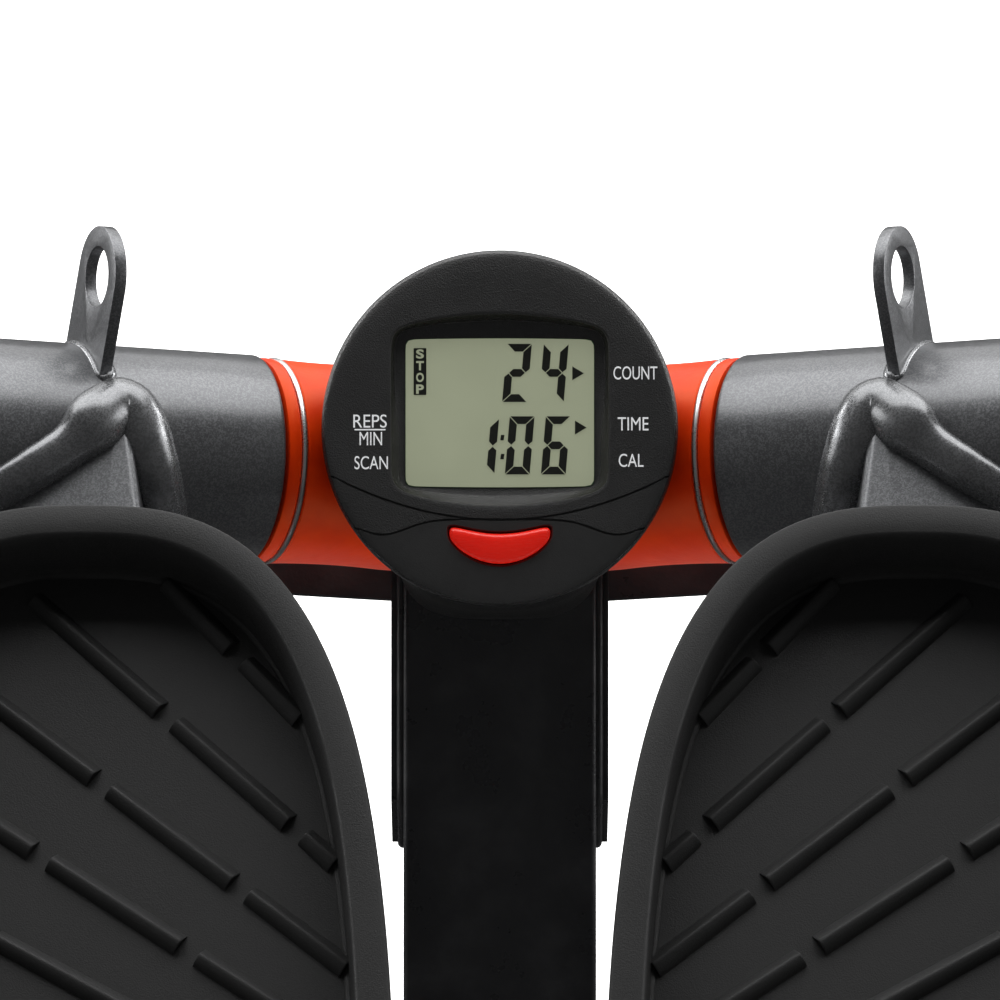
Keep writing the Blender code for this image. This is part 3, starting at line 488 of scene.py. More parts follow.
def turns(count, shift=0.0):
    """Evenly spaced angles of one whole turn."""
    return [2 * pi * (k + shift) / count for k in range(count)]


def lathe(name, profile, look, segments):
    """Turns a closed (radius, height) outline about the left axle."""
    rings = [[(r * cos(a), r * sin(a), h) for a in turns(segments)] for r, h in profile]
    return to_object(rings_to_bm(rings, closed=True), name, look, AXLE)


def prism(name, outline, low, high, place, look=None):
    """An outline raised from low to high; one without a look is for cutting."""
    rings = [[(x, y, z) for x, y in outline] for z in (low, high)]
    return to_object(rings_to_bm(rings), name, look, place)


def join(name, objects):
    """One object from several, with the first one's materials."""
    bm = bmesh.new()
    for obj in objects:
        bm.from_mesh(obj.data)
    mesh = bpy.data.meshes.new(name)
    bm.to_mesh(mesh)
    bm.free()
    mesh.materials.append(objects[0].data.materials[0])
    for obj in objects:
        bpy.data.objects.remove(obj)
    made = add_object(name, mesh)
    smooth(made)
    return made


def arc(radius, start, end, steps, centre=(0.0, 0.0)):
    angles = [start + (end - start) * k / steps for k in range(steps + 1)]
    return [(centre[0] + radius * cos(a), centre[1] + radius * sin(a)) for a in angles]


def circle(radius, steps, centre=(0.0, 0.0)):
    return arc(radius, 0, 2 * pi, steps, centre)[:-1]


def rounded(width, height, radius, steps=6, centre=(0.0, 0.0)):
    """The outline of a rectangle with round corners."""
    points = []
    for quarter, (sx, sy) in enumerate(((1, 1), (-1, 1), (-1, -1), (1, -1))):
        mid = (centre[0] + sx * (width / 2 - radius), centre[1] + sy * (height / 2 - radius))
        points += arc(radius, pi / 2 * quarter, pi / 2 * (quarter + 1), steps, mid)
    return points


def even(points, spacing, closed=True):
    """Resamples a polyline at an even spacing."""
    path = points + (points[:1] if closed else [])
    lengths = [0.0]
    for a, b in zip(path, path[1:]):
        lengths.append(lengths[-1] + (b - a).length)
    count = max(8, round(lengths[-1] / spacing))
    made, k = [], 0
    for i in range(count + (0 if closed else 1)):
        want = lengths[-1] * i / count
        while k < len(path) - 2 and lengths[k + 1] < want:
            k += 1
        step = lengths[k + 1] - lengths[k]
        made.append(path[k].lerp(path[k + 1], (want - lengths[k]) / step if step else 0.0))
    return made


def relaxed(points, rounds, closed=True):
    """Smooths a line: a round takes each point halfway to its neighbours' middle."""
    for _ in range(rounds):
        after = points[1:] + points[:1]
        eased = [p * 0.5 + (points[k - 1] + after[k]) * 0.25 for k, p in enumerate(points)]
        points = eased if closed else [points[0], *eased[1:-1], points[-1]]
    return points


def sweep(name, points, normals, section, look, closed=True):
    """Carries a section along a path: section(k) is the k-th point's (across, out) pairs."""
    rings = []
    count = len(points)
    for k, p in enumerate(points):
        before = points[k - 1] if closed or k else p
        after = points[(k + 1) % count] if closed or k < count - 1 else p
        along = (after - before).normalized()
        out = square_to(normals[k], along).normalized()
        across = along.cross(out)
        rings.append([p + x * across + y * out for x, y in section(k)])
    return to_object(rings_to_bm(rings, closed=closed), name, look)


# ---- placing ----
def put(obj, body, slot, *nodes):
    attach(obj, body)
    if nodes:
        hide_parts(*nodes)
    return obj


def put_both(obj, body, slot, *nodes):
    """Places a left piece and its reflection on the right."""
    mesh = obj.data.copy()
    mesh.transform(MIRROR)
    mesh.flip_normals()
    twin = add_object(obj.name.replace("left", "right"), mesh)
    put(obj, body, slot, *nodes)
    put(twin, body.replace("left", "right"), slot, *(n.replace("left", "right") for n in nodes))


# ---- monitor ----
SCREEN_HALF, SCREEN_MID, SCREEN_TALL = 0.0244, 0.0041, 0.0190
MOUTH_HALF, MOUTH_MID, MOUTH_TALL = 0.0281, 0.0051, 0.0206
FACE_BACK = -0.0059  # the front moulding's rear edge
MOUTH_EDGE = 0.0002  # how far the mouth's rounded edge lies under the face
SHOULDER = 0.0055  # the width of the rim over which the face falls away
MARKS = (-0.00352, -0.00342)  # under and upper side of what is lit on the display
DIGIT_LEAN = 0.085


def superellipse(a, half_width, half_height, power):
    """A point of a rectangle whose corners are rounder the lower the power; 2 is an ellipse."""
    across, up = abs(cos(a) / half_width), abs(sin(a) / half_height)
    reach = (across ** power + up ** power) ** (-1 / power)
    return reach * cos(a), reach * sin(a)


def bowed(theta, half, middle, tall, power, bow_up, bow_down, inset=0.0):
    """A point of a rectangle with round corners whose top and bottom edges bow outwards."""
    x, y = superellipse(theta, half - inset, tall - inset, power)
    bow = bow_up if y > 0 else -bow_down
    return Vector((x, middle + y + bow * abs(y) / tall * (1 - (x / half) ** 2), 0.0))


def mouth(theta, inset=0.0):
    return bowed(theta, MOUTH_HALF, MOUTH_MID, MOUTH_TALL, 13.0, 0.0039, 0.0046, inset)


def screen(theta, inset=0.0):
    return bowed(theta, SCREEN_HALF, SCREEN_MID, SCREEN_TALL, 30.0, 0.0003, 0.0003, inset)


def even_angles(outline, fine, count):
    """Picks those of many fine angles at which an outline has evenly spaced points."""
    points = [outline(a) for a in fine]
    run, total = [], 0.0
    for k, p in enumerate(points):
        run.append(total)
        total += (points[(k + 1) % len(points)] - p).length
    made, k = [], 0
    for i in range(count):
        while k < len(fine) - 1 and run[k] < total * i / count:
            k += 1
        made.append(fine[k])
    return made


def wave_seam(x):
    return WAVE_MID - WAVE_DEEP * exp(-(((abs(x) - WAVE_AT) / WAVE_WIDE) ** 2))


def smile_seam(x):
    return -0.0235 + 6.0 * x * x


def bean(grow=0.0, count=28):
    """The button's outline: a bar that sags in the middle and is thickest there."""
    half, thick, sag, centre = 0.0130, 0.00385, 0.0041, -0.0269
    upper, lower = [], []
    for k in range(count + 1):
        a = pi * k / count
        x = (half + grow) * cos(a)
        middle = centre - sag * (1 - (x / half) ** 2)
        depth = (thick + grow) * sin(a) ** 0.7
        upper.append((x, middle + depth))
        lower.append((x, middle - depth))
    return upper + lower[-2:0:-1]


def groove(line, width):
    """A tube along a seam line on the face, to cut it with."""
    section = [(width * cos(a), width * sin(a)) for a in turns(10)]
    normals = [Vector((0, 0, 1))] * len(line)
    made = sweep("groove", line, normals, lambda k: section, None, closed=False)
    made.data.transform(MONITOR)
    return made


def seam_line(seam):
    """Points of a seam, a little under the face's surface, from rim to rim."""
    reach, steps, sunk = MONITOR_RADIUS + 0.0008, 120, 0.00018
    line = []
    for k in range(steps + 1):
        x = reach * (2 * k / steps - 1)
        p = Vector((x, seam(x), 0.0))
        away = p.xy.length
        if away < MONITOR_RADIUS + 0.0012:
            line.append(Vector((p.x, p.y, face_height(away) - sunk)))
    return line


def build_face():
    """Front of the monitor: a grained dome with a sloping, bowed mouth round the display."""
    angles = even_angles(mouth, turns(2400), 300)
    headings = [atan2(mouth(a).y, mouth(a).x) for a in angles]
    dome = ((0.0003, FACE_BACK), (0.0, -0.0052), (0.0, -0.0022), (0.0002, -0.0014))
    dome += ((0.0006, -0.0008), (0.0012, -0.0004), (0.0024, -0.0002), (SHOULDER, 0.0))
    rings = [[screen(a, -0.0002) + Vector((0, 0, FACE_BACK)) for a in angles]]
    for inset, z in dome:
        radius = MONITOR_RADIUS - inset
        rings.append([(radius * cos(h), radius * sin(h), z) for h in headings])
    inner = MONITOR_RADIUS - SHOULDER
    brow = [Vector((inner * cos(h), inner * sin(h), 0)) for h in headings]
    for step in range(1, 12):
        rings.append([far.lerp(mouth(a), step / 12) for a, far in zip(angles, brow)])
    rings.append([mouth(a, -0.0004) for a in angles])
    rings.append([mouth(a) + Vector((0, 0, -MOUTH_EDGE)) for a in angles])
    for step in range(1, 11):
        rings.append([mouth_wall(a, step / 10) for a in angles])
    face = to_object(rings_to_bm(rings, closed=True), "monitor_face", CASE, MONITOR)
    cutters = [groove(seam_line(seam), 0.00033) for seam in (smile_seam, wave_seam)]
    well = ((0.0004, -0.02), (0.0004, -0.0006), (0.0011, 0.0006))
    well = [[(x, y, z) for x, y in bean(grow)] for grow, z in well]
    cutters.append(to_object(rings_to_bm(well), "well", None, MONITOR))
    carve(face, cutters, 32)
    return face


def face_height(radius):
    """Height of the dome at a distance from its middle."""
    edge = MONITOR_RADIUS - radius
    if edge > SHOULDER:
        return 0.0
    return -0.0030 * max(0.0, 1 - edge / SHOULDER) ** 8


def mouth_wall(a, share):
    """A point down the mouth's wall: a step and a ledge at the top, a hollow at the bottom."""
    flat = mouth(a).lerp(screen(a), share)
    step = 0.0034 * min(1.0, share / 0.28) + 0.0002 * max(0.0, (share - 0.28) / 0.72)
    hollow = 0.0036 * (1 - (1 - share) ** 2)
    top = min(1.0, max(0.0, (sin(a) + 0.3) / 0.6))
    return Vector((flat.x, flat.y, -(top * step + (1 - top) * hollow) - MOUTH_EDGE))


def build_button():
    """Soft-edged button: its outline draws in as it rises over the face."""
    levels = ((0.0, -0.0070), (0.0, -0.0002), (0.00012, 0.0003), (0.0005, 0.0008))
    levels += ((0.0011, 0.0011), (0.0019, 0.00125))
    rings = [[(x, y, z) for x, y in bean(-inset)] for inset, z in levels]
    return to_object(rings_to_bm(rings), "monitor_button", RED, MONITOR, 60)


def segment_shapes(width, height, thick, gap):
    """The seven bars of a digit as outlines, lettered from the top clockwise, g in the middle."""
    mid, half = height / 2, thick / 2
    inner, low, high = width - thick, mid - half, mid + half
    upper_left = [(0, height - gap), (thick, height - thick - gap), (thick, high + gap)]
    upper_left += [(half, mid + gap), (0, high + gap * 0.2)]
    lower_left = [(x, height - y) for x, y in upper_left]
    top = [(gap, height), (width - gap, height)]
    top += [(inner - gap, height - thick), (thick + gap, height - thick)]
    middle = [(half + gap, mid), (thick + gap, high), (inner - gap, high)]
    middle += [(width - half - gap, mid), (inner - gap, low), (thick + gap, low)]
    bottom = [(x, height - y) for x, y in top]
    right = [[(width - x, y) for x, y in bar] for bar in (upper_left, lower_left)]
    return dict(zip("abcdefg", (top, *right, bottom, lower_left, upper_left, middle)))


LIT = {"0": "abcdef", "1": "bc", "2": "abged", "4": "fgbc", "6": "afedcg"}


def build_marks():
    """The display's lit marks: two rows of leaning digits, a colon and two pointers."""
    wide = segment_shapes(0.0064, 0.0150, 0.0020, 0.00017)
    narrow = segment_shapes(0.0044, 0.0142, 0.0021, 0.00017)
    digits = (("2", wide, 0.0006, 0.0069), ("4", wide, 0.0101, 0.0069))
    digits += (("0", wide, 0.0013, -0.0118), ("6", wide, 0.0106, -0.0118))
    digits += (("1", narrow, -0.0058, -0.0116),)
    outlines = []
    for digit, shapes, x, y in digits:
        for letter in LIT[digit]:
            outlines.append([(x + px + DIGIT_LEAN * py, y + py) for px, py in shapes[letter]])
    for y in (-0.0030, -0.0079):
        outlines.append([(0.0001, y), (0.0010, y), (0.0012, y + 0.0014), (0.0003, y + 0.0014)])
    for x, y in ((0.0187, 0.0143), (0.0194, 0.0003)):
        outlines.append([(x, y - 0.0018), (x + 0.0030, y), (x, y + 0.0018)])
    bars = [prism("bar", outline, *MARKS, MONITOR, SEGMENT) for outline in outlines]
    return join("display_digits", bars)


def lettering(name, text, look, centre, width, height, level, bold=0.0):
    """A generic word, fitted to a width and a height, as a thin mesh at a level on the monitor."""
    curve = bpy.data.curves.new(name, "FONT")
    curve.body = text
    curve.size = 1.0
    curve.extrude = 0.01
    curve.offset = bold
    obj = add_object(name, curve)
    mesh = evaluated_mesh(obj)
    bpy.data.objects.remove(obj)
    low = [min(v.co[k] for v in mesh.vertices) for k in range(2)]
    high = [max(v.co[k] for v in mesh.vertices) for k in range(2)]
    scale = (width / (high[0] - low[0]), height / (high[1] - low[1]), 0.004, 1)
    mesh.transform(Matrix.Translation((-(low[0] + high[0]) / 2, -(low[1] + high[1]) / 2, 0)))
    mesh.transform(Matrix.Diagonal(scale))
    mesh.transform(MONITOR @ Matrix.Translation((*centre, level)))
    mesh.materials.clear()
    mesh.materials.append(look)
    return add_object(name, mesh)


def build_stop_label():
    """A dark upright label with the word in the panel's colour, letter under letter."""
    x, low, high = -0.0206, 0.0087, 0.0208
    plate = rounded(0.0033, high - low, 0.0002, 2, (x, (low + high) / 2))
    plate = prism("stop_plate", plate, *MARKS, MONITOR, SEGMENT)
    wide, tall, level, bold = 0.0020, 0.0024, -0.00341, 0.035
    letters = []
    for k, letter in enumerate("STOP"):
        centre = (x, high - (k + 0.5) * (high - low) / 4)
        letters.append(lettering("letter", letter, PANEL, centre, wide, tall, level, bold))
    return plate, join("stop_letters", letters)


def build_legends():
    """Names of the readings, printed beside the display: each word's middle and width."""
    words = (("COUNT", 0.0349, 0.0143, 0.0113), ("TIME", 0.0343, 0.0012, 0.0079))
    words += (("CAL", 0.0338, -0.0082, 0.0064), ("REPS", -0.0334, 0.0019, 0.0086))
    words += (("MIN", -0.0332, -0.0026, 0.0058), ("SCAN", -0.0331, -0.0088, 0.0086))
    tall, level = 0.0034, 0.00003
    made = [lettering("legend", w, LEGEND, (x, y), wide, tall, level) for w, x, y, wide in words]
    bar = rounded(0.0080, 0.00035, 0.0001, 1, (-0.0334, -0.0003))
    made.append(prism("legend_bar", bar, 0.0, 0.00007, MONITOR, LEGEND))
    return join("printed_legends", made)


def sheet(name, low, high, look):
    """A flat piece that fills the display's outline."""
    outline = [screen(a, 0.0001) for a in turns(160)]
    return prism(name, [(p.x, p.y) for p in outline], low, high, MONITOR, look)


def build_monitor():
    put(build_face(), "frame", "black_plastic", "monitor_front_shell")
    put(build_button(), "button", "red_plastic", "reset_button")
    put(sheet("display_panel", -0.0058, -0.0036, PANEL), "frame", "lcd_panel", "lcd_panel")
    put(sheet("display_window", -0.0032, -0.0030, WINDOW), "frame", "lcd_glass", "lcd_lens")
    put(build_marks(), "frame", "lcd_panel")
    for piece in build_stop_label():
        put(piece, "frame", "lcd_panel")
    put(build_legends(), "frame", "black_plastic")


# ---- axles and sleeves ----
def build_collar():
    """Orange sleeve over the fixed axle: waisted, grooved for its ring, with a rolled end."""
    rim, waist, bore = COLLAR_RADIUS, COLLAR_RADIUS - 0.0009, 0.0224
    low, high = RING_AT - 0.0009, RING_AT + 0.0009
    start, flare, end = 0.030, 0.034, SLEEVE_START - 0.0008
    profile = [(bore, start), (waist + 0.0013, start)]
    for k in range(9):
        share = k / 8
        height = flare + (low - 0.0004 - flare) * share
        profile.append((waist + 0.0009 * share ** 2 + 0.0012 * (1 - share) ** 2, height))
    profile += [(rim - 0.0003, low), (waist - 0.0001, low + 0.0001)]
    profile += [(waist - 0.0001, high - 0.0001), (rim - 0.0003, high)]
    profile += [(rim, high + 0.0004), (rim + 0.0001, high + 0.0016)]
    profile += [(rim + 0.0001, end - 0.0010), (rim - 0.0002, end - 0.0003), (rim - 0.0008, end)]
    profile += [(bore, end)]
    collar = lathe("collar_left", profile, ORANGE, 144)
    side = POST_WIDTH / 2 + 0.0036
    clear = prism("clear", rounded(2 * side, 0.16, 0.001, 1), -0.08, 0.08, POST)
    carve(collar, [clear], 30)
    put_both(collar, "frame", "orange_plastic", "hub_collar_left")
    ring = circle(0.00078, 12, (COLLAR_RADIUS - 0.0004, RING_AT))
    put_both(lathe("trim_wire_left", ring, SILVER, 144), "frame", "chrome", "trim_ring_left")


def build_sleeve():
    """Turning sleeve of an arm: a thick tube with soft edges."""
    outer, inner, soft = SLEEVE_RADIUS, SLEEVE_RADIUS - 0.0045, 0.0012
    start, end = SLEEVE_START, SLEEVE_END
    profile = [(inner, start)] + arc(soft, -pi / 2, 0, 5, (outer - soft, start + soft))
    profile += [(outer, start + (end - start) * k / 8) for k in range(1, 8)]
    profile += arc(soft, 0, pi / 2, 5, (outer - soft, end - soft)) + [(inner, end)]
    sleeve = lathe("axle_sleeve_left", profile, GREY, 160)
    put_both(sleeve, "left_arm", "grey_paint", "sleeve_left")


def rolled():
    """The arm tube's frame: X and Y square to its faces, Z along it."""
    x, y, z = (column(ARM, k) for k in range(3))
    across = cos(ARM_ROLL) * x - sin(ARM_ROLL) * z
    up = sin(ARM_ROLL) * x + cos(ARM_ROLL) * z
    return placed(ARM.translation, up, across, y)


def on_sleeve(point, along):
    """Where a line first meets the sleeve from outside, going back along the given direction."""
    p, d = square_to(point - HUB, OUTWARD), square_to(along, OUTWARD)
    a, b, c = d.length_squared, p.dot(d), p.length_squared - SLEEVE_RADIUS ** 2
    reach = (-b + sqrt(max(0.0, b * b - a * c))) / a
    return point + reach * along


def radial(point):
    """The direction straight away from the axle."""
    return square_to(point - HUB, OUTWARD).normalized()


def bead(sizes, flat, seed):
    """A weld bead's section at each point: a low oval whose size wavers along the weld."""

    def section(k):
        turn = 2 * pi * k / len(sizes)
        where = Vector((cos(turn) * 3, sin(turn) * 3, seed))
        size = sizes[k] * (1 + 0.07 * noise.noise(where) + 0.02 * noise.noise(where * 5))
        return [(size * cos(a), size * flat * sin(a)) for a in turns(20)]

    return section


def arm_bead_size(hubward, upward):
    """Half width of the hand-laid bead at a heading round the tube: it swells on top."""
    thin, hub_more, far_more, top_more, swell = 0.0046, 0.0018, 0.0013, 0.0009, 0.0019
    toward = max(0.0, min(1.0, (hubward + 0.35) / 0.8))
    size = thin + hub_more * toward * toward * (3 - 2 * toward)
    if upward > -0.2:
        size += far_more * max(0.0, -hubward)
    if upward > 0.0:
        lump = swell * exp(-(((hubward - 0.02) / 0.22) ** 2))
        size += top_more * upward ** 2 + lump * min(1.0, 3 * upward)
    return size


def build_arm_weld():
    """The thick bead round the square arm tube, on the sleeve just outside where they meet."""
    place = rolled()
    along, hubward, upward = column(place, 2), -OUTWARD, column(AXLE, 1)
    outline = [place @ Vector((x, y, 0.0)) for x, y in rounded(ARM_TUBE, ARM_TUBE, 0.004, 8)]
    meets = relaxed(even([on_sleeve(p, along) for p in even(outline, 0.0008)], 0.0012), 10)
    centre = sum(meets, Vector()) / len(meets)
    line, normals, sizes = [], [], []
    for p in meets:
        normal = radial(p)
        away = square_to(p - centre, normal).normalized()
        size = arm_bead_size(away.dot(hubward), away.dot(upward))
        line.append(p - 0.0012 * normal + 0.72 * size * away)
        normals.append(normal)
        sizes.append(size)
    line = [on_sleeve_surface(p, 0.0006) for p in relaxed(line, 6)]
    weld = sweep("arm_weld_left", line, normals, bead(sizes, 0.74, 3.1), GREY_PAINTED_LIGHTER)
    put_both(weld, "left_arm", "grey_paint")


def on_sleeve_surface(point, below):
    """The same place along and round the axle, at a depth below the sleeve's skin."""
    height = (point - HUB).dot(OUTWARD)
    return HUB + height * OUTWARD + (SLEEVE_RADIUS - below) * radial(point)


def sleeve_cutter():
    """Copes what meets the sleeve, with a hair's gap."""
    return prism("cope", circle(SLEEVE_RADIUS + 0.0001, 96), 0.05, 0.2, AXLE)


def build_arm_tube():
    """Square tube with tight corners, rolled about its own length and coped round the sleeve."""
    place, inside = rolled(), rounded(ARM_TUBE - 0.004, ARM_TUBE - 0.004, 0.001, 2)
    outline = rounded(ARM_TUBE, ARM_TUBE, 0.0024, 6)
    tube = prism("arm_beam_left", outline, 0, ARM_LENGTH, place, GREY)
    hollow = prism("hollow", inside, -0.01, ARM_LENGTH + 0.01, place)
    carve(tube, [hollow, sleeve_cutter()], 25)
    put_both(tube, "left_arm", "grey_paint", "arm_tube_left")


def build_eyelet():
    """Strap eyelet: a round-ended plate with a hole, coped and welded to the sleeve."""
    half, centre, hole, thick = 0.0130, 0.0474, 0.0079, 0.0031
    turn = Matrix.Rotation(-EYELET_LEAN, 4, "Z") @ Matrix.Rotation(EYELET_TWIST, 4, "Y")
    place = AXLE @ Matrix.Translation((0, 0, EYELET_ALONG)) @ turn
    place = place @ Matrix.Translation((0, 0, -thick / 2))
    outline = arc(half, 0, pi, 36, (0, centre)) + [(-half, 0.020), (half, 0.020)]
    plate = prism("strap_eyelet_left", outline, 0, thick, place, GREY)
    drill = prism("drill", circle(hole, 48, (0, centre)), -0.01, 0.02, place)
    carve(plate, [drill, sleeve_cutter()])
    soften(plate, 0.0009)
    put_both(plate, "left_arm", "grey_paint", "eyelet_left")
    foot = rounded(2 * half, thick, 0.0012, 4, (0, thick / 2))
    foot = even([place @ Vector((x, 0.06, z)) for x, z in foot], 0.0008)
    line = relaxed([on_sleeve(p, column(place, 1)) for p in foot], 2)
    normals = [radial(p) for p in line]
    middle = sum(line, Vector()) / len(line)
    thin, more = 0.0009, 0.0011  # the bead is thick on the hub's side only
    shares = [max(0.0, min(1.0, (p - middle).dot(-OUTWARD) / (thick / 2))) for p in line]
    sizes = [thin + more * share for share in shares]
    weld = sweep("eyelet_weld_left", line, normals, bead(sizes, 0.85, 8.4), GREY_PAINTED_LIGHTER)
    put_both(weld, "left_arm", "grey_paint")


# ---- pedals ----
FAN_FOCUS = Vector((0.240, -0.100))  # the tread's rows of ribs all point to here, beside the tray
FAN_PITCH = radians(4.5)
FAN_FIRST = radians(47.5)
FAN_ROWS = 14
FAN_BANDS = ((0.1270, 0.1653), (0.1708, 0.2091), (0.2145, 0.2528))
FAN_BANDS += ((0.2583, 0.2966), (0.3021, 0.3460), (0.3515, 0.3955))
RIB_HALF, RIB_TALL = 0.0031, 0.0024


def toe_share(along):
    """How far a place is from the middle to the toe, eased in over the middle."""
    ease = 0.3
    if abs(along) > ease:
        return max(0.0, along)
    return (along + ease) ** 2 / (4 * ease)


def tray_point(a, inset=0.0):
    across, along = PEDAL_POWERS
    c, s = cos(a), sin(a)
    x = (PEDAL_HALF_WIDTH - inset) * abs(c) ** (2 / across) * (1 if c > 0 else -1)
    y = (PEDAL_HALF_LENGTH - inset) * abs(s) ** (2 / along) * (1 if s > 0 else -1)
    return Vector((x * (1 - PEDAL_TAPER * toe_share(y / PEDAL_HALF_LENGTH)), y, 0.0))


def inside_tray(point, inset):
    across, along = PEDAL_POWERS
    share = 1 - PEDAL_TAPER * toe_share(point.y / PEDAL_HALF_LENGTH)
    x = abs(point.x) / share / (PEDAL_HALF_WIDTH - inset)
    y = abs(point.y) / (PEDAL_HALF_LENGTH - inset)
    return x ** across + y ** along < 1


def build_tray():
    """Foot tray: a rounded rim, a drafted wall, a small step at its foot and a level floor."""
    depth, floor = -PEDAL_DEPTH, -PEDAL_DEPTH - PEDAL_FLOOR
    angles = even_angles(tray_point, turns(4000, 0.5), 220)
    under = [(0.0120, floor), (0.0060, floor), (0.0034, floor + 0.0008)]
    under += [(0.0017, floor + 0.0028), (0.0006, floor + 0.0065)]
    outside = [(0.0001, -0.0090), (0.0, -0.0045), (0.0, -0.0016), (0.0002, -0.0008)]
    rim = [(0.0006, -0.0002), (0.0012, 0.0), (0.0045, 0.0), (0.0077, 0.0), (0.0082, -0.0002)]
    inside = [(0.0086, -0.0007), (0.0088, -0.0018), (0.0091, -0.0080), (0.0096, -0.0150)]
    step = [(0.0098, depth + 0.0016), (0.0101, depth + 0.0009), (0.0107, depth + 0.0007)]
    step += [(0.0110, depth + 0.0004), (0.0112, depth)]
    section = under + outside + rim + inside + step
    rings = [[tray_point(a, inset) + Vector((0, 0, z)) for a in angles] for inset, z in section]
    shares, first, last = (0.1, 0.3, 0.55, 0.8), rings[0], rings[-1]
    low = [[Vector((p.x * share, p.y * share, floor)) for p in first] for share in shares]
    high = [[Vector((p.x * share, p.y * share, depth)) for p in last] for share in shares[::-1]]
    tray = to_object(rings_to_bm(low + rings + high), "foot_tray_left", TRAY, PEDAL, 30)
    put_both(tray, "left_arm", "pedal_plastic", "pedal_left")


def rib_span(row, near, far):
    """A dash's heading and the part of it on the tray's floor, or None if that is short."""
    angle = FAN_FIRST - FAN_PITCH * row
    heading = Vector((-cos(angle), sin(angle)))
    steps, shortest = 60, 0.14
    within = []
    for k in range(steps + 1):
        reach = near + (far - near) * k / steps
        if inside_tray(FAN_FOCUS + reach * heading, PEDAL_RIM + 0.0002):
            within.append(reach)
    if len(within) < steps * shortest:
        return None
    return heading, within[0], within[-1]


def rib_solid(name, heading, near, far):
    """One rib: a low roof with a soft crest and a rounder outer side, cut square at both ends."""
    across, sunk, narrower = Vector((-heading.y, heading.x)), 0.0003, 0.12
    roof = [(-1.0, 0.0), (-0.94, 0.14), (-0.24, 0.93), (-0.13, 0.99), (0.0, 1.0)]
    roof += [(0.16, 0.97), (0.46, 0.83), (0.74, 0.58), (0.92, 0.26), (1.0, 0.0)]
    ends = ((0.0, 0.94), (0.0002, 0.99), (0.0005, 1.0))
    stations = [(near + inset, shrink) for inset, shrink in ends]
    stations += [(far - inset, shrink) for inset, shrink in ends[::-1]]
    loops = []
    for reach, shrink in stations:
        middle = FAN_FOCUS + reach * heading
        loop = []
        for x, z in roof:
            side = middle + x * RIB_HALF * (1.0 - narrower * (reach - near) / (far - near)) * across
            loop.append((side.x, side.y, -PEDAL_DEPTH - sunk + (RIB_TALL + sunk) * z * shrink))
        loops.append(loop)
    return to_object(rings_to_bm(loops), name, TRAY, PEDAL)


def build_ribs():
    """Grip ribs: dashes in rows that fan out from one point, cut to the tray's floor."""
    made = []
    for row in range(-1, FAN_ROWS):
        for near, far in FAN_BANDS:
            span = rib_span(row, near, far)
            if span:
                made.append(rib_solid("rib", *span))
    ribs = join("tread_ribs_left", made)
    smooth(ribs, 28)
    put_both(ribs, "left_arm", "pedal_plastic")


# ---- upright ----
STUB_HOLE = 0.0223  # radius of the hole that each stub axle goes through
LENGTHWISE = placed(HUB, OUT, RIGHT, UP)  # Z along the upright


def stub_cutter(place, radius=STUB_HOLE, reach=0.09):
    return prism("stub", circle(radius, 96), -0.02, reach, place)


def build_upright():
    """Square tube with tight corners, cut level at its foot and holed for the axles."""
    top, foot, wall, inside = -0.008, -0.26, 0.002, POST_WIDTH - 0.004
    outline, inside = rounded(POST_WIDTH, POST_WIDTH, 0.0016, 6), rounded(inside, inside, 0.001, 3)
    ground = [(-0.1, -0.3), (0.1, -0.3), (0.1, 0.3), (-0.1, 0.3)]
    post = prism("upright", outline, foot, top, LENGTHWISE, BLACK)
    hollow = prism("hollow", inside, foot - 0.01, top + wall, LENGTHWISE)
    below = prism("below", ground, -0.3, BASE_TOP + 0.0003, Matrix())
    carve(post, [hollow, below, stub_cutter(AXLE), stub_cutter(MIRROR @ AXLE)], 25)
    put(post, "frame", "black_paint", "upright_post")


def build_cheeks():
    """Gusset plate on the upright's side, under the axle, with the weld along both its edges."""
    far, near, foot, top, corner, thick = -0.020, 0.022, -0.0985, -0.006, 0.012, 0.003
    start, off = -0.024, 0.0003  # the weld starts under the axle, a little outside the edge
    outline = [(near, top), (far, top), (far, foot + corner), (far + corner, foot)]
    outline += [(near - corner, foot), (near, foot + corner)]
    place = placed(HUB - (POST_WIDTH / 2 + 0.0003) * RIGHT, OUT, UP, -RIGHT)
    plate = prism("gusset_left", outline, 0, thick, place, BLACK)
    carve(plate, [stub_cutter(AXLE)])
    soften(plate, 0.0007)
    put_both(plate, "frame", "black_paint", "cheek_plate_left")
    seam = [(near + off, start), (near + off, foot + corner), (near - corner, foot - off)]
    seam += [(far + corner, foot - off), (far - off, foot + corner), (far - off, start)]
    line = even([place @ Vector((x, y, 0.0002)) for x, y in seam], 0.0012, closed=False)
    line = relaxed(line, 3, closed=False)
    section = bead([0.0015] * len(line), 0.9, 2.2)
    weld = sweep("gusset_weld_left", line, [-RIGHT] * len(line), section, BLACK, closed=False)
    put_both(weld, "frame", "black_paint")


def neck_ring(half_width, half_height, centre, power, z):
    points = [superellipse(a, half_width, half_height, power) for a in turns(144)]
    return [(x, centre + y, z) for x, y in points]


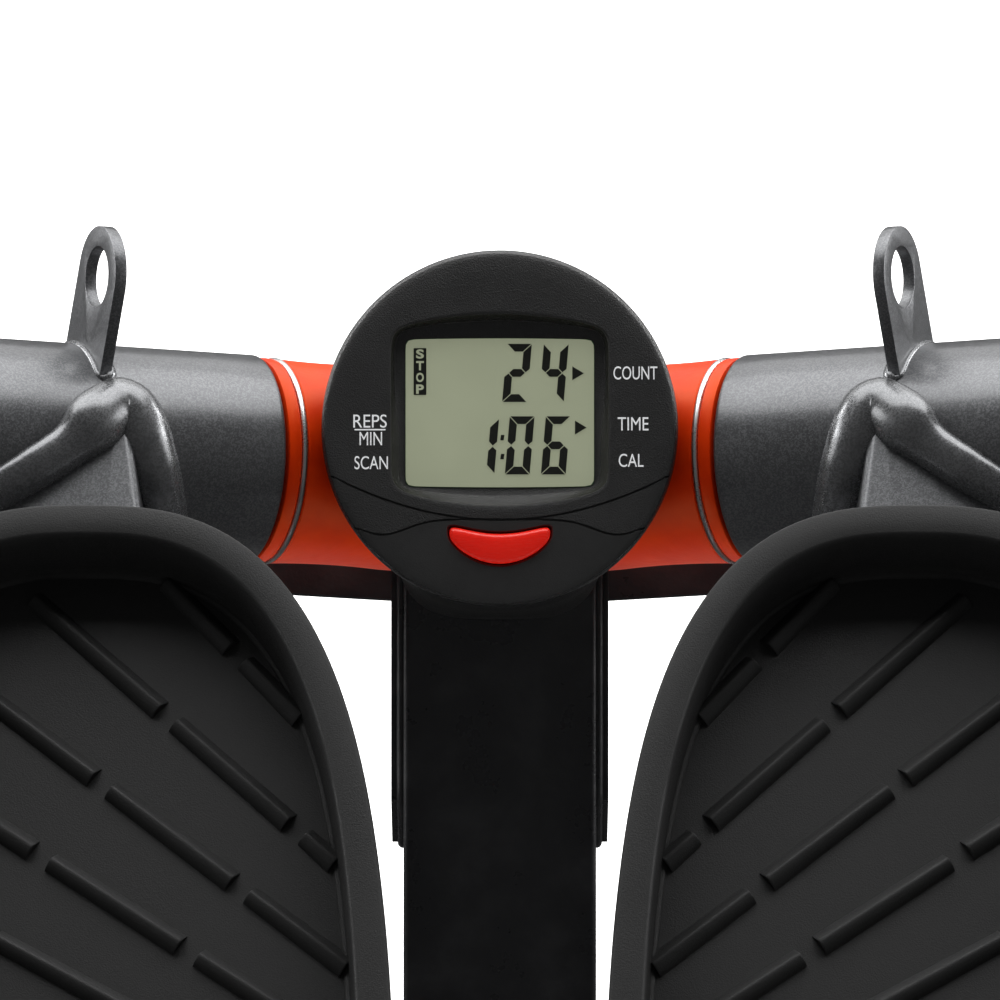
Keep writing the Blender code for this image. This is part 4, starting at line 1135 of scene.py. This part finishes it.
def build_rear_shell():
    """Rear half of the monitor: a short drum that draws in to a neck on the upright."""
    r, back = MONITOR_RADIUS, -(MONITOR_OUT - POST_WIDTH / 2 - 0.0003)
    stations = (  # half width, half height, middle, power, level
        (r - 0.0012, r - 0.0012, 0.0, 2.0, -0.0062),
        (r - 0.0005, r - 0.0005, 0.0, 2.0, -0.0066),
        (r - 0.0004, r - 0.0004, 0.0, 2.0, -0.0075),
        (r - 0.0006, r - 0.0006, 0.0, 2.0, -0.0100),
        (r - 0.0012, r - 0.0010, 0.0, 2.0, -0.0125),
        (r - 0.0028, r - 0.0012, -0.0008, 2.05, -0.0155),
        (r - 0.0062, r - 0.0018, -0.0030, 2.2, -0.0190),
        (0.0345, 0.0415, -0.0062, 2.5, -0.0232),
        (0.0304, 0.0390, -0.0100, 2.9, -0.0272),
        (0.0287, 0.0374, -0.0124, 3.4, -0.0305),
        (0.0285, 0.0370, -0.0130, 3.6, back),
    )
    rings = [neck_ring(*station) for station in stations]
    shell = to_object(rings_to_bm(rings), "monitor_housing", HOUSING, MONITOR)
    pocket = rounded(0.059, 0.046, 0.004, 4, (0, 0.0045))
    cutters = [prism("pocket", pocket, -0.0136, 0.01, MONITOR)]
    cutters.append(prism("well", bean(0.0024), -0.0120, 0.01, MONITOR))
    for axle in (AXLE, MIRROR @ AXLE):
        cutters.append(stub_cutter(axle, COLLAR_RADIUS + 0.0006, 0.0722))
    carve(shell, cutters, 32)
    put(shell, "frame", "black_plastic", "monitor_rear_shell")


# ---- base details ----
def build_post_weld():
    """Bead round the upright's foot, where it stands on the base tubes."""
    half = POST_WIDTH / 2
    foot = HUB.y - (HUB.z - BASE_TOP)
    long = half / sin(POST_LEAN)
    outline = rounded(2 * half, 2 * long, 0.004, 5, (0, foot))
    line = even([Vector((x, y, BASE_TOP + 0.0004)) for x, y in outline], 0.0015)
    section = bead([0.0027] * len(line), 0.8, 5.7)
    weld = sweep("post_weld", line, [Vector((0, 0, 1))] * len(line), section, BLACK)
    put(weld, "frame", "black_paint")


def finish_nodes():
    """Every CAD node that stays gets the finish of what it is made of."""
    looks = {"black_paint": BLACK, "grey_paint": GREY, "black_plastic": HOUSING}
    looks |= {"pedal_plastic": TRAY, "orange_plastic": ORANGE, "red_plastic": RED}
    looks |= {"rubber": RUBBER, "chrome": CHROME, "steel": STEEL, "nylon": NYLON}
    looks |= {"lcd_panel": PANEL, "lcd_glass": WINDOW, "board_green": GREEN}
    for entry in frame["record"]["subparts"]:
        obj, slot = frame["nodes"][entry["node"]], entry["material_slot"]
        obj.data.materials.clear()
        obj.data.materials.append(looks[slot])


# ---- camera, lights, floor ----
CAMERA_REACH = 1.2
AIM_BELOW, AIM_RIGHT = 0.0184, 0.00005  # the aim, from the monitor's middle
PIXELS_PER_METRE = 3886.0  # at the monitor's face
IMAGE_WIDTH = 1000.0
SENSOR_WIDTH = 36.0


def build_camera():
    """Looks straight down the monitor's axis, 45 degrees from above."""
    data = bpy.data.cameras.new("camera")
    camera = add_object("camera", data)
    target = MONITOR.translation - AIM_BELOW * UP + AIM_RIGHT * RIGHT
    camera.matrix_world = placed(target + CAMERA_REACH * OUT, RIGHT, UP, OUT)
    data.sensor_width = SENSOR_WIDTH
    data.lens = SENSOR_WIDTH * PIXELS_PER_METRE * CAMERA_REACH / IMAGE_WIDTH
    data.clip_start, data.clip_end = 0.02, 40.0
    bpy.context.scene.camera = camera


def area_light(name, place, size, power):
    """A white softbox that faces the hub; its place is counted from the floor below the hub."""
    data = bpy.data.lights.new(name, "AREA")
    data.shape = "RECTANGLE"
    data.size, data.size_y = size
    data.energy = power
    light = add_object(name, data)
    light.location = Vector(place) + Vector((0, HUB.y, 0))
    light.rotation_mode = "QUATERNION"
    light.rotation_quaternion = (HUB - light.location).to_track_quat("-Z", "Y")


def build_floor():
    """White paper under the machine, which what shines doesn't mirror."""
    n = Nodes("floor_paper")
    grain = n.noise(120, 4, 0.6)
    colour = n.blend(n.ramp(grain, 0.3, 0.7), (0.90, 0.90, 0.90), (0.93, 0.93, 0.93))
    look = n.finish(colour, 0.9, Emission_Color=colour, Emission_Strength=1.0)
    bm = bmesh.new()
    bmesh.ops.create_grid(bm, x_segments=8, y_segments=8, size=4.0)
    floor = to_object(bm, "floor", look)
    floor.location.z = -0.0005
    floor.visible_glossy = False


def build_lights():
    """Softboxes behind and beside the machine, in a dim white room."""
    area_light("overhead", (0.0, 0.80, 1.16), (2.2, 1.20), 30.0)
    area_light("backdrop", (0.0, 1.90, 0.55), (3.4, 1.0), 16.0)
    for side in (-1, 1):
        area_light(f"side_{side}", (1.60 * side, 0.12, 0.56), (0.6, 0.8), 5.0)
        area_light(f"edge_{side}", (1.7 * side, 0.75, 0.40), (1.0, 0.8), 29.0)
    world = bpy.data.worlds.new("studio")
    world.use_nodes = True
    room = world.node_tree.nodes["Background"].inputs
    room["Color"].default_value = (1, 1, 1, 1)
    room["Strength"].default_value = 0.085
    bpy.context.scene.world = world
    bpy.context.scene.view_settings.view_transform = "Standard"


# ---- everything ----
finish_nodes()
build_monitor()
build_collar()
build_sleeve()
build_arm_tube()
build_arm_weld()
build_eyelet()
build_upright()
build_cheeks()
build_rear_shell()
build_tray()
build_ribs()
build_post_weld()
build_camera()
build_floor()
build_lights()
